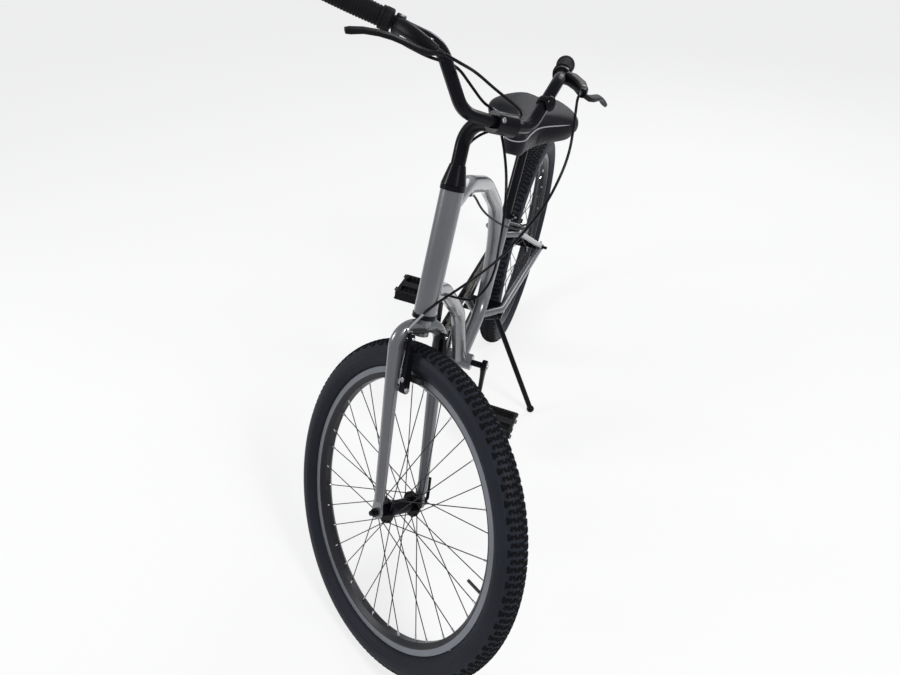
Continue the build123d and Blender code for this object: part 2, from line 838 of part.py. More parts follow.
def make_steering_cables():
    """Gear cable and rear brake cable from the right grip to the frame, with the bar turned."""
    def turned(points):
        return [(turned_place * Pos(point)).position for point in points]

    _, stop, ahead = arch_stop()
    _, boss = down_stop()
    brake_cable = cable([
        *turned(lever_exit(-1)), *turned(raised(brake_bar_places)),
        *[laid_out(place) for place in brake_head_places], stop + ahead * cable_lead, stop,
    ])
    gear_cable = cable([
        *turned(shifter_exit()), *turned(raised(gear_bar_places)),
        *[laid_out(place) for place in gear_head_places], boss + Vector(0, cable_lead, 0), boss,
    ])
    return brake_cable, gear_cable


def make_rear_brake_cable():
    """From the stop under the arch tube to the rear brake's noodle."""
    mouth, before = noodle_mouth(rear_brake_frame(), brake_offset_rear)
    start, _, ahead = arch_stop()
    return cable([
        start, start - ahead * cable_lead, *[laid_out(place) for place in rear_cable_places], before, mouth,
    ])


# Seat, in the bike frame
def seat_axis():
    return (mid_point(seat_top) - mid_point(seat_foot)).normalized()


def make_seat_post():
    top = mid_point(seat_top)
    along = seat_axis()
    return rod(top - along * post_depth, top + along * post_rise, post_r)


def make_seat_clamp():
    """Clamp ring on the seat tube with two ears, their bolt and the cam lever."""
    top = mid_point(seat_top)
    along = seat_axis()
    back = Vector(-along.Z, 0, along.X)
    ring = rod(top - along * seat_clamp_height, top, seat_tube_r + seat_clamp_wall)
    middle = top - along * (seat_clamp_height / 2)
    ears = Plane(origin=middle + back * seat_tube_r, x_dir=back, z_dir=along).location * Box(
        seat_clamp_wall * 2 + seat_ear_reach, seat_ear_half * 2, seat_clamp_height)
    slit = Plane(origin=middle + back * seat_tube_r, x_dir=back, z_dir=along).location * Box(
        seat_clamp_wall * 4 + seat_ear_reach * 2, fit_gap * 4, seat_clamp_height + cut_overrun)
    bore = rod(top - along * (seat_clamp_height + cut_overrun), top + along * cut_overrun, seat_tube_r)
    bolt = middle + back * (seat_tube_r + seat_ear_reach - seat_bolt_r)
    cam_out = seat_ear_half + seat_cam_wall
    pin = cross_rod(bolt.X, bolt.Z, -cam_out, cam_out, seat_bolt_r)
    nut = cross_rod(bolt.X, bolt.Z, -cam_out, -seat_ear_half, seat_cam_r - seat_bolt_r / 2)
    cam = cross_rod(bolt.X, bolt.Z, seat_ear_half, cam_out, seat_cam_r)
    root = Vector(bolt.X, seat_ear_half + seat_cam_wall / 2, bolt.Z)
    elbow = root + Vector(0, seat_cam_wall, 0) - back * seat_lever_r
    lever = bent_rod([root, elbow, elbow - back * seat_lever_length], [seat_cam_r], seat_lever_r)
    return ring + ears - slit - bore + pin + nut + cam + lever


def saddle_outline(inset):
    """Plan of the saddle, a wide back that narrows in a curve to the nose."""
    back = saddle_back_x + tyre_growth + inset
    nose = saddle_nose_x + tyre_growth - inset
    wing = saddle_half - inset
    tip = saddle_nose_half - inset
    waist = tip * saddle_waist_share
    length = nose - back
    wing_x = back + length * saddle_wing_share
    neck_x = back + length * saddle_neck_share
    edges = [
        ThreePointArc((wing_x, -wing), (back, 0), (wing_x, wing)),
        Spline((wing_x, wing), (neck_x, waist), (nose - tip, tip),
               tangents=((1, 0), (1, saddle_taper_share))),
        ThreePointArc((nose - tip, tip), (nose, 0), (nose - tip, -tip)),
        Spline((nose - tip, -tip), (neck_x, -waist), (wing_x, -wing),
               tangents=((-1, saddle_taper_share), (-1, 0))),
    ]
    return make_face(Wire(edges))


def saddle_low():
    return mid_point(seat_top).Z + saddle_rise - saddle_depth


def make_saddle():
    low = saddle_low()
    pad = Pos(0, 0, low) * extrude(saddle_outline(0), saddle_depth)
    pad = fillet(pad.faces().sort_by(Axis.Z)[-1].edges(), saddle_edge)
    base = extrude(saddle_outline(saddle_edge / 2), saddle_base_wall)
    base = Pos(0, 0, low - saddle_base_wall - fit_gap) * base
    return pad, base


def make_saddle_rails():
    """Two rails under the saddle's base and the clamp that holds them on the seat post."""
    low = saddle_low() - saddle_base_wall - fit_gap
    seat = mid_point(seat_top)
    rail_low_z = seat.Z + rail_rise
    over = low + rail_r * 2
    top = seat + seat_axis() * post_rise
    head = cross_rod(top.X, rail_low_z, -rail_clamp_half, rail_clamp_half, rail_clamp_r)
    neck = rod(top - seat_axis() * rail_clamp_r, (top.X, 0, rail_low_z), post_r + rail_clamp_wall)
    clamp = head + neck - rod(top - seat_axis() * post_depth, top, post_r)
    rails = None
    for side in (1, -1):
        route = [
            Vector(rail_back_x, side * rail_back_y, over),
            Vector(rail_flat_back_x, side * rail_y, rail_low_z),
            Vector(rail_flat_front_x, side * rail_y, rail_low_z),
            Vector(rail_nose_x, side * rail_nose_y, over),
        ]
        route = [point + Vector(tyre_growth, 0, 0) for point in route]
        rail = bent_rod(route, [rail_bend, rail_bend], rail_r)
        rails = rail if rails is None else rails + rail
    lid = Pos((rail_back_x + rail_nose_x) / 2 + tyre_growth, 0, over) * Box(
        saddle_nose_x, saddle_half, (over - low) * 2)
    return clamp + rails - lid


# Drive, in the bike frame
def chain_loop():
    """Pitch line of the chain: two arcs joined by tangent runs, as a closed wire in X and Z."""
    span = bracket - rear_hub
    base = math.atan2(span.Z, span.X)
    spread = math.acos((sprocket_r - ring_r) / span.length)
    top_angle = base + spread
    low_angle = base - spread

    def on(centre, radius, angle):
        return (centre.X + radius * math.cos(angle), centre.Z + radius * math.sin(angle))

    rear_top = on(rear_hub, sprocket_r, top_angle)
    rear_low = on(rear_hub, sprocket_r, low_angle)
    ring_top = on(bracket, ring_r, top_angle)
    ring_low = on(bracket, ring_r, low_angle)
    return Wire([
        Line(rear_top, ring_top),
        ThreePointArc(ring_top, on(bracket, ring_r, base), ring_low),
        Line(ring_low, rear_low),
        ThreePointArc(rear_low, on(rear_hub, sprocket_r, base + math.pi), rear_top),
    ])


def make_chain():
    loop = chain_loop()
    links = 2 * round(loop.length / chain_pitch / 2)
    outer = []
    inner = []
    for step in range(2 * links):
        share = step / (2 * links)
        spot = loop.position_at(share)
        run = loop.tangent_at(share)
        half = chain_waist_half if step % 2 else chain_pin_half
        outer.append((spot.X - run.Y * half, spot.Y + run.X * half))
        inner.append((spot.X + run.Y * half, spot.Y - run.X * half))
    band = make_face(Polyline(*outer, close=True)) - make_face(Polyline(*inner, close=True))
    return flat_plate(band, chain_y, chain_width)


def make_chainring():
    disc, root_r = toothed_disc(ring_r, ring_teeth, ring_wall)
    window = Circle(root_r - ring_rim) - Circle(ring_hub_r)
    arms = Sketch() + PolarLocations(ring_r / 2, ring_arms) * Rectangle(ring_r, ring_arm_width)
    hole = flat_plate(window - arms, 0, ring_wall + cut_overrun)
    disc = disc - hole - cross_rod(0, 0, -cut_overrun, cut_overrun, spindle_r + fit_gap)
    return Pos(bracket_x, chain_y, bracket_z) * disc


def make_crank(side, angle):
    turn = math.radians(angle)
    eye = (crank_length * math.cos(turn), crank_length * math.sin(turn))
    outline = make_hull([*Circle(crank_boss_r).edges(), *(Pos(*eye) * Circle(crank_eye_r)).edges()])
    arm = flat_plate(outline, side * (crank_y + crank_wall / 2), crank_wall)
    eye_hole = cross_rod(eye[0], eye[1], -crank_y * 2, crank_y * 2, pedal_axle_r)
    boss_hole = cross_rod(0, 0, -crank_y * 2, crank_y * 2, spindle_r)
    return Pos(bracket_x, 0, bracket_z) * (arm - eye_hole - boss_hole)


def pedal_centre(side, angle):
    turn = math.radians(angle)
    return Vector(bracket_x + crank_length * math.cos(turn), 0, bracket_z + crank_length * math.sin(turn))


def make_pedal(side, angle):
    centre = pedal_centre(side, angle)
    inner = crank_y + crank_wall + pedal_gap
    middle = side * (inner + pedal_length / 2)
    block = Box(pedal_depth, pedal_length, pedal_height)
    window = Box(pedal_depth / 2 - pedal_barrel_r - pedal_rail, pedal_length - 2 * pedal_rail,
                 pedal_height + cut_overrun)
    window_x = (pedal_depth / 2 - pedal_rail + pedal_barrel_r) / 2
    body = block - Pos(window_x, 0, 0) * window - Pos(-window_x, 0, 0) * window
    bore = cross_rod(0, 0, -pedal_length, pedal_length, pedal_axle_r + fit_gap)
    return Pos(centre.X, middle, centre.Z) * (body - bore)


def make_pedal_axle(side, angle):
    centre = pedal_centre(side, angle)
    reach = side * (crank_y + crank_wall + pedal_gap + pedal_length)
    return cross_rod(centre.X, centre.Z, side * crank_y, reach, pedal_axle_r)


def make_guard():
    band_low = guard_band_low + tyre_growth
    band_top = guard_band_top + tyre_growth
    tail_low = bracket_z + guard_front_r * guard_tail_share
    band = make_face(Polyline(
        (guard_back_x, band_low), (guard_back_x, band_top), (bracket_x, bracket_z + guard_front_r),
        (bracket_x, tail_low), close=True))
    disc = Pos(bracket_x, bracket_z) * Circle(guard_front_r)
    hole = Pos(bracket_x, bracket_z) * Circle(crank_boss_r + guard_hole_gap)
    plate = flat_plate(band + disc - hole, guard_y, guard_wall)
    elbow = laid_out(chain_stay_elbow)
    tip = stay_end(chain_stay_tip)
    stay_run = (tip - elbow).normalized()
    spot = elbow + stay_run * ((guard_clip_x - elbow.X) / stay_run.X)
    spot = Vector(spot.X, -spot.Y, spot.Z)
    run = Vector(stay_run.X, -stay_run.Y, stay_run.Z) * (guard_clip_width / 2)
    clip = rod(spot - run, spot + run, stay_r + fit_gap + guard_clip_wall)
    clip = clip - rod(spot - run * 2, spot + run * 2, stay_r + fit_gap)
    root = mid_point((guard_boss_x, guard_boss_z))
    boss = cross_rod(root.X, root.Z, guard_y, -arch_tube_r - fit_gap, guard_boss_r)
    tab_low = spot.Z + stay_r + fit_gap
    tab = Pos(spot.X, guard_y, tab_low + guard_tab_height / 2) * Box(
        guard_clip_width, guard_wall, guard_tab_height)
    return plate + clip + boss + tab


# Side stand and ground
def ground_normal():
    """Unit vector of the ground's up direction in the bike frame, tyres and stand all touching."""
    section = tyre_width / 2
    ring = tyre_r - section
    turn = math.radians(steer_angle)
    front_axle = Vector(0, math.cos(turn), 0) + steer_up.cross(Vector(0, 1, 0)) * math.sin(turn)
    front_centre = on_front_hub()
    lean = math.radians(lean_angle)
    pitch = 0.0
    for _ in range(6):
        up = Vector(pitch, -math.sin(lean), math.cos(lean)).normalized()
        low_rear = rear_hub.dot(up) - ring * math.sqrt(1 - up.Y**2) - section
        low_front = front_centre.dot(up) - ring * math.sqrt(1 - up.dot(front_axle) ** 2) - section
        pitch += (low_rear - low_front) / wheelbase
    return up, low_rear


def on_front_hub():
    turn = math.radians(steer_angle)
    return steer_origin + (steer_ahead * math.cos(turn) + Vector(0, 1, 0) * math.sin(turn)) * fork_offset


def parked_frame():
    """Plane of the ground under the parked bicycle, heading along the bicycle."""
    up, level = ground_normal()
    heading = (Vector(1, 0, 0) - up * up.X).normalized()
    return Plane(origin=up * level, x_dir=heading, z_dir=up)


def stand_pivot():
    return laid_out((stand_x, stand_y, stand_z))


def stand_foot_place():
    """Centre of the foot, resting on the ground."""
    up, level = ground_normal()
    foot_x = stand_foot_x + tyre_growth
    height = (level + stand_foot_r - foot_x * up.X - stand_foot_y * up.Y) / up.Z
    return Vector(foot_x, stand_foot_y, height)


def stand_axis():
    tilt = math.radians(stand_tilt)
    return Vector(0, math.cos(tilt), math.sin(tilt))


def make_stand():
    pivot = stand_pivot()
    axis = stand_axis()
    foot = stand_foot_place()
    knuckle = rod(pivot - axis * stand_leg_r, pivot + axis * stand_leg_r, stand_knuckle_r)
    bore = rod(pivot - axis * stand_knuckle_r, pivot + axis * stand_knuckle_r, stand_pin_r + fit_gap)
    down = (foot - pivot).normalized()
    leg = rod(pivot + down * stand_leg_start, foot, stand_leg_r)
    ball = Pos(foot.X, foot.Y, foot.Z) * Sphere(stand_foot_r)
    return knuckle - bore + leg + ball


def make_nodes():
    """Every node as (body, name, shape) in its upright, unsteered frame, with that frame."""
    here = Plane.XY.location
    steered = turned_place
    head = head_frame.location
    front = steered * Pos(fork_offset, 0, 0)
    rear = Pos(0, 0, tyre_r)
    nodes = []

    def add(body, name, place, *shapes):
        nodes.append((body, name, place, shapes))

    arch = make_arch_tube()
    seat_tube_cut = rod(mid_point(seat_foot), mid_point(seat_top), seat_tube_r)
    left_chain_stay = make_chain_stay(arch)
    left_seat_stay = make_seat_stay(seat_tube_cut, left_chain_stay)
    add("frame", "head_tube", here, make_head_tube())
    add("frame", "arch_tube", here, arch)
    add("frame", "down_tube", here, make_down_tube(arch))
    add("frame", "bottom_bracket_shell", here, make_bracket_shell())
    add("frame", "seat_tube", here, make_seat_tube(arch))
    add("frame", "chain_stay_left", here, left_chain_stay)
    add("frame", "chain_stay_right", here, mirrored(left_chain_stay))
    add("frame", "seat_stay_left", here, left_seat_stay)
    add("frame", "seat_stay_right", here, mirrored(left_seat_stay))
    cups = []
    for low in (head_low - cup_height, head_high):
        outer = Cylinder(head_tube_r + cup_flare, cup_height, align=(Align.CENTER, Align.CENTER, Align.MIN))
        bore = Cylinder(steerer_r + fit_gap, cup_height, align=(Align.CENTER, Align.CENTER, Align.MIN))
        cups.append(Pos(0, 0, low) * (outer - bore))
    add("frame", "headset_cups", head, *cups)
    add("frame", "seat_post", here, make_seat_post())
    add("frame", "seat_clamp", here, make_seat_clamp())
    pad, base = make_saddle()
    add("frame", "saddle_pad", here, pad)
    add("frame", "saddle_base", here, base)
    add("frame", "chain_guard", here, make_guard())
    add("frame", "chain", here, make_chain())
    add("frame", "stand_bracket", here, make_stand_bracket())
    add("frame", "rear_axle", here, make_rear_axle())
    rear_brake = rear_brake_frame().location
    arm, brake_pad = make_brake_arm(brake_offset_rear)
    add("frame", "rear_brake_arms", here, rear_brake * arm, rear_brake * mirrored(arm))
    add("frame", "rear_brake_pads", here, rear_brake * brake_pad, rear_brake * mirrored(brake_pad))
    add("frame", "rear_brake_noodle", here, rear_brake * make_brake_link(brake_offset_rear))
    add("frame", "saddle_rails", here, make_saddle_rails())
    fork, brake = make_fork()
    add("fork", "fork", steered, fork)
    add("fork", "headset_cover", steered, Pos(0, 0, head_high + cup_height + race_gap) * (
        Cone(head_tube_r + cup_flare, cover_top_r, cover_height, align=(Align.CENTER, Align.CENTER, Align.MIN))
        - Cylinder(stem_r + fit_gap, cover_height, align=(Align.CENTER, Align.CENTER, Align.MIN))))
    add("fork", "stem", steered, make_stem())
    add("fork", "handlebar", steered, make_bar())
    grip = make_grip()
    lever = make_lever()
    add("fork", "grip_left", steered, grip)
    add("fork", "grip_right", steered, mirrored(grip))
    add("fork", "brake_lever_left", steered, lever)
    add("fork", "brake_lever_right", steered, mirrored(lever))
    arm, brake_pad = make_brake_arm(brake_offset_front)
    arms = [brake.location * arm, brake.location * mirrored(arm)]
    pads = [brake.location * brake_pad, brake.location * mirrored(brake_pad)]
    add("fork", "front_brake_arms", steered, *arms)
    add("fork", "front_brake_pads", steered, *pads)
    add("fork", "front_brake_cable", steered, make_front_brake_cable(brake))
    add("fork", "steering_cables", here, *make_steering_cables())
    add("frame", "rear_brake_cable", here, make_rear_brake_cable())
    add("fork", "front_brake_noodle", steered, brake.location * make_brake_link(brake_offset_front))
    add("fork", "front_axle", steered, make_front_axle())
    add("fork", "twist_shifter", steered, mirrored(make_shifter()))
    add("fork", "bell", steered, make_bell())
    add("front_wheel", "front_tyre", front, make_tyre())
    add("front_wheel", "front_rim", front, make_rim())
    add("front_wheel", "front_spokes", front, *make_spokes(front_flange_r, front_flange_y))
    add("front_wheel", "front_hub", front, make_hub(front_flange_r, front_flange_y, front_hub_half))
    add("rear_wheel", "rear_tyre", rear, make_tyre())
    add("rear_wheel", "rear_rim", rear, make_rim())
    add("rear_wheel", "rear_spokes", rear, *make_spokes(rear_flange_r, rear_flange_y))
    add("rear_wheel", "rear_hub", rear, make_hub(rear_flange_r, rear_flange_y, rear_hub_half))
    sprocket, _ = toothed_disc(sprocket_r, sprocket_teeth, ring_wall)
    sprocket_hole = cross_rod(0, 0, -cut_overrun, cut_overrun, hub_barrel_r - flange_wall)
    add("rear_wheel", "rear_sprocket", rear * Pos(0, chain_y, 0), sprocket - sprocket_hole)
    right_angle = crank_angle + 180
    add("crankset", "chainring", here, make_chainring())
    add("crankset", "crank_left", here, make_crank(1, crank_angle))
    add("crankset", "crank_right", here, make_crank(-1, right_angle))
    reach = crank_y + crank_wall
    add("crankset", "crank_spindle", here, cross_rod(bracket_x, bracket_z, -reach, reach, spindle_r))
    add("crankset", "pedal_axles", here, make_pedal_axle(1, crank_angle), make_pedal_axle(-1, right_angle))
    add("pedal_left", "pedal_left", here, make_pedal(1, crank_angle))
    add("pedal_right", "pedal_right", here, make_pedal(-1, right_angle))
    add("stand", "side_stand", here, make_stand())
    return nodes


def ground_location(solids):
    """Move from the parked ground plane to the middle of the parked bicycle's footprint."""
    box = Compound(solids).bounding_box()
    return Pos(-(box.min.X + box.max.X) / 2, -(box.min.Y + box.max.Y) / 2, -box.min.Z)


def build_all():
    to_ground = parked_frame().location.inverse()
    placed = []
    for body, name, place, shapes in make_nodes():
        solids = []
        for shape in shapes:
            for solid in shape.solids():
                solids.append(to_ground * place * solid)
        placed.append((body, name, solids))
    everything = [solid for _, _, solids in placed for solid in solids]
    shift = ground_location(everything)
    return [(body, name, [shift * solid for solid in solids]) for body, name, solids in placed], shift


if __name__ == "__main__":
    os.makedirs("parts", exist_ok=True)
    for body, name, solids in build_all()[0]:
        shape = solids[0] if len(solids) == 1 else Compound(solids)
        export_step(shape, f"parts/{name}.step")
        print(body, name, len(solids))
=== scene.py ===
# %% [markdown]
# # A cruiser bicycle, dressed for a studio picture
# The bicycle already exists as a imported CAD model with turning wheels, crank and bar. This lesson
# loads that model as a fixed frame, gives every piece a finish of its own, and adds what a CAD model
# leaves out: tread, spoke nipples, ribbed grips, a padded saddle, cables, bolts and chain links.

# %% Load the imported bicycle
import json
import math

import bmesh
import bpy
from mathutils import Matrix, Vector
from mathutils.bvhtree import BVHTree


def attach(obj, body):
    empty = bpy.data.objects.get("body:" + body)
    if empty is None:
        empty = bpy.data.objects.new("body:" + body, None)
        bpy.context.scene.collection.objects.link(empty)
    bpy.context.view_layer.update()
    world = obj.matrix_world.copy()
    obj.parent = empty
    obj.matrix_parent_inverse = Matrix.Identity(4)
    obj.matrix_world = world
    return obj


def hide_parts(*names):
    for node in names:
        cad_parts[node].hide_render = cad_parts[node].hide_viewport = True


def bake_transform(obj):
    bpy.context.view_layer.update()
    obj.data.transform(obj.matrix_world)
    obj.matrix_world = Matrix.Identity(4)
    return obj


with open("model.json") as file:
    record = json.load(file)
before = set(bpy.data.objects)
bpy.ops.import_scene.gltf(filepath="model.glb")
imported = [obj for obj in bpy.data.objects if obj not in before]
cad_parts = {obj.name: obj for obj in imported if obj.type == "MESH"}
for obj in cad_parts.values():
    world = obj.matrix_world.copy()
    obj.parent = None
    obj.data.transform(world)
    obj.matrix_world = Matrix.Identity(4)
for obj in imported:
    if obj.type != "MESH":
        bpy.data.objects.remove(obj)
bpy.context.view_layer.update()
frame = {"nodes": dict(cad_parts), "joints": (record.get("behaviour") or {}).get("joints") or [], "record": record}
nodes = frame["nodes"]
joints = {joint["name"]: joint for joint in frame["joints"]}

# %% [markdown]
# ## Places on the bicycle
# The parked bicycle leans on its stand with the bar turned, so nothing on it is square to the floor.
# Working in the bicycle's own axes is far easier: X ahead, Y to the rider's left, Z up, in millimetres
# from the ground under the rear axle. The record's joints give those axes exactly. A second set of
# axes sits on the steering axis, for what turns with the bar.

# %% Frames of reference
MM = 0.001
TYRE_R = 340.0
BRACKET = Vector((620.0, 0.0, 305.0))
FORK_OFFSET = 50.0


def frame_matrix(ahead, left, up, origin):
    """Matrix from millimetres in a piece's own axes to metres on the floor."""
    turn = Matrix((ahead, left, up)).transposed().to_4x4()
    return Matrix.Translation(origin) @ turn @ Matrix.Scale(MM, 4)


def joint_place(name):
    return Vector(joints[name]["pos_m"])


def joint_axis(name):
    return Vector(joints[name]["axis"]).normalized()


left = joint_axis("rear_wheel_spin")
to_bracket = joint_place("crank_spin") - joint_place("rear_wheel_spin")
rise = math.atan2(BRACKET.z - TYRE_R, BRACKET.x)
ahead = (Matrix.Rotation(rise, 3, left) @ to_bracket).normalized()
up = ahead.cross(left).normalized()
BIKE = frame_matrix(ahead, left, up, joint_place("rear_wheel_spin") - up * TYRE_R * MM)

steer_up = joint_axis("steering")
reach = joint_place("front_wheel_spin") - joint_place("steering")
steer_ahead = (reach - steer_up * reach.dot(steer_up)).normalized()
steer_left = joint_axis("front_wheel_spin")
steer_origin = joint_place("front_wheel_spin") - steer_ahead * FORK_OFFSET * MM
STEER = frame_matrix(steer_ahead, steer_left, steer_up, steer_origin)
FRONT_WHEEL = STEER @ Matrix.Translation((FORK_OFFSET, 0, 0))
REAR_WHEEL = BIKE @ Matrix.Translation((0, 0, TYRE_R))
print("bracket again", BIKE @ BRACKET, joint_place("crank_spin"))

# %% [markdown]
# ## Camera
# The photograph was taken from in front of the bicycle and well above it, with a moderately wide
# lens. Its place was worked out from the wheels and tubes in the picture, so the camera goes in as a
# point, a view direction and a lens.

# %% Camera
CAMERA_AT = (1.58507, 0.43699, 1.44831)
CAMERA_VIEW = Vector((-0.77912711, -0.26445437, -0.56835274))
CAMERA_UP = Vector((-0.54351523, -0.16675374, 0.82266906))
LENS = 29.81

camera_data = bpy.data.cameras.new("studio_camera")
camera_data.lens = LENS
camera_data.sensor_width = 36.0
camera = bpy.data.objects.new("studio_camera", camera_data)
view_right = CAMERA_VIEW.cross(CAMERA_UP).normalized()
view_turn = Matrix((view_right, CAMERA_UP, -CAMERA_VIEW)).transposed().to_4x4()
camera.matrix_world = Matrix.Translation(CAMERA_AT) @ view_turn
bpy.context.scene.collection.objects.link(camera)
bpy.context.scene.camera = camera

# %% [markdown]
# ## World and lamps
# Soft lamps give the long highlights that make round painted tubes readable. The camera sees a white
# world, but the pieces are lit by a dimmer one and mirror it, which keeps the black parts black.

# %% World and lamps
FILL_STRENGTH = 0.46
WHITE = (1, 1, 1, 1)
scene = bpy.context.scene
scene.view_settings.view_transform = "Standard"


def set_inputs(node, values):
    for label, value in values.items():
        node.inputs[label.replace("_", " ")].default_value = value


def add_node(tree, kind, **values):
    """Shader node in a tree, with the named inputs set."""
    node = tree.nodes.new("ShaderNode" + kind)
    set_inputs(node, values)
    return node


world = bpy.data.worlds.new("studio")
scene.world = world
world.use_nodes = True
tree = world.node_tree
tree.nodes.clear()
output = add_node(tree, "OutputWorld")
fill = add_node(tree, "Background", Color=(0.93, 0.95, 1.0, 1), Strength=FILL_STRENGTH)
seen = add_node(tree, "Background", Color=WHITE)
mix = add_node(tree, "MixShader")
path = add_node(tree, "LightPath")
tree.links.new(path.outputs["Is Camera Ray"], mix.inputs["Fac"])
tree.links.new(fill.outputs[0], mix.inputs[1])
tree.links.new(seen.outputs[0], mix.inputs[2])
tree.links.new(mix.outputs[0], output.inputs["Surface"])


def lamp(name, place, aim, size, power):
    """Square area lamp at a place, turned towards a point."""
    data = bpy.data.lights.new(name, "AREA")
    data.shape = "SQUARE"
    data.size = size
    data.energy = power
    lamp_object = bpy.data.objects.new(name, data)
    lamp_object.location = place
    lamp_object.rotation_euler = (Vector(aim) - Vector(place)).to_track_quat("-Z", "Y").to_euler()
    scene.collection.objects.link(lamp_object)


lamp("key_lamp", (1.6, 2.2, 2.9), (0, 0, 0.5), 0.8, 66)
lamp("side_lamp", (1.2, -2.6, 2.0), (0.1, 0, 0.6), 1.0, 34)
lamp("back_lamp", (-2.6, 0.6, 2.6), (0, 0, 0.6), 2.0, 34)

# %% [markdown]
# ## Finishes
# The same small effects return on many surfaces: a soft unevenness of colour, fine dust, grain in
# rubber or vinyl, brushing on metal. Each is one node group with named sockets, so a material sets
# only the amounts. All of them read Object coordinates, which for these pieces are metres on the
# bicycle, so a pattern keeps its real size and stays on its piece.


# %% Node group helpers
def new_group(name, inputs, outputs):
    """Empty shader group with float or colour inputs and outputs."""
    group = bpy.data.node_groups.new(name, "ShaderNodeTree")
    for label, kind, value in inputs:
        socket = group.interface.new_socket(label, in_out="INPUT", socket_type=kind)
        if value is not None:
            socket.default_value = value
    for label, kind in outputs:
        group.interface.new_socket(label, in_out="OUTPUT", socket_type=kind)
    return group, group.nodes.new("NodeGroupInput"), group.nodes.new("NodeGroupOutput")


def object_coordinates(group):
    return add_node(group, "TexCoord").outputs["Object"]


def noise(group, vector, scale_socket, detail=3.0, scale=10.0):
    node = add_node(group, "TexNoise", Scale=scale, Detail=detail)
    group.links.new(vector, node.inputs["Vector"])
    if scale_socket is not None:
        group.links.new(scale_socket, node.inputs["Scale"])
    return node.outputs["Fac"]


def spread(group, value, low, high, to_low, to_high):
    node = add_node(group, "MapRange", From_Min=low, From_Max=high, To_Min=to_low, To_Max=to_high)
    group.links.new(value, node.inputs["Value"])
    return node.outputs["Result"]


def calculate(group, operation, first, second):
    node = add_node(group, "Math")
    node.operation = operation
    for index, value in enumerate((first, second)):
        if isinstance(value, (int, float)):
            node.inputs[index].default_value = value
        else:
            group.links.new(value, node.inputs[index])
    return node.outputs[0]


# %% Group: cloudy tone and dust
tone, tone_in, tone_out = new_group(
    "cloudy_tone",
    [("Color", "NodeSocketColor", (0.5, 0.5, 0.5, 1)),
     ("Dust Color", "NodeSocketColor", (0.4, 0.38, 0.35, 1)),
     ("Clouds", "NodeSocketFloat", 0.15), ("Dust", "NodeSocketFloat", 0.1),
     ("Roughness", "NodeSocketFloat", 0.4), ("Scale", "NodeSocketFloat", 12.0)],
    [("Color", "NodeSocketColor"), ("Roughness", "NodeSocketFloat")])
coordinates = object_coordinates(tone)
clouds = noise(tone, coordinates, tone_in.outputs["Scale"], 4.0)
swing = calculate(tone, "MULTIPLY", spread(tone, clouds, 0.3, 0.7, -1.0, 1.0), tone_in.outputs["Clouds"])
bright = add_node(tone, "HueSaturation")
tone.links.new(tone_in.outputs["Color"], bright.inputs["Color"])
tone.links.new(calculate(tone, "ADD", swing, 1.0), bright.inputs["Value"])
specks = noise(tone, coordinates, None, 6.0, 190.0)
patches = noise(tone, coordinates, None, 2.0, 7.0)
dust = calculate(tone, "MULTIPLY", spread(tone, specks, 0.45, 0.75, 0.0, 1.0),
                 spread(tone, patches, 0.35, 0.7, 0.2, 1.0))
dust = calculate(tone, "MULTIPLY", dust, tone_in.outputs["Dust"])
dusty = add_node(tone, "Mix")
dusty.data_type = "RGBA"
tone.links.new(dust, dusty.inputs["Factor"])
tone.links.new(bright.outputs["Color"], dusty.inputs["A"])
tone.links.new(tone_in.outputs["Dust Color"], dusty.inputs["B"])
tone.links.new(dusty.outputs["Result"], tone_out.inputs["Color"])
rough = calculate(tone, "ADD", tone_in.outputs["Roughness"], calculate(tone, "MULTIPLY", dust, 0.6))
rough = calculate(tone, "ADD", rough, calculate(tone, "MULTIPLY", swing, 0.25))
tone.links.new(rough, tone_out.inputs["Roughness"])

# %% Group: pebbled grain of rubber, vinyl and moulded plastic
grain, grain_in, grain_out = new_group(
    "pebble_grain",
    [("Scale", "NodeSocketFloat", 900.0), ("Crease", "NodeSocketFloat", 0.5)],
    [("Height", "NodeSocketFloat")])
coordinates = object_coordinates(grain)
cells = add_node(grain, "TexVoronoi")
cells.feature = "DISTANCE_TO_EDGE"
grain.links.new(coordinates, cells.inputs["Vector"])
grain.links.new(grain_in.outputs["Scale"], cells.inputs["Scale"])
pebbles = spread(grain, cells.outputs["Distance"], 0.0, 0.25, 0.0, 1.0)
folds = noise(grain, coordinates, None, 5.0, 60.0)
height = calculate(grain, "ADD", pebbles, calculate(grain, "MULTIPLY", folds, grain_in.outputs["Crease"]))
grain.links.new(height, grain_out.inputs["Height"])

# %% Group: fine turning and brushing marks of metal
brushed, brushed_in, brushed_out = new_group(
    "brushed_marks",
    [("Scale", "NodeSocketFloat", 700.0), ("Stretch", "NodeSocketVector", (0.1, 1.0, 1.0))],
    [("Height", "NodeSocketFloat")])
coordinates = object_coordinates(brushed)
squeeze = add_node(brushed, "VectorMath")
squeeze.operation = "MULTIPLY"
brushed.links.new(coordinates, squeeze.inputs[0])
brushed.links.new(brushed_in.outputs["Stretch"], squeeze.inputs[1])
lines = noise(brushed, squeeze.outputs[0], brushed_in.outputs["Scale"], 2.0)
brushed.links.new(lines, brushed_out.inputs["Height"])


# %% Material helpers
BUMP_DISTANCE = 0.0003
DUST_COLOR = (0.42, 0.40, 0.37, 1)


def place_group(material, group, **values):
    node = add_node(material.node_tree, "Group")
    node.node_tree = group
    set_inputs(node, values)
    return node


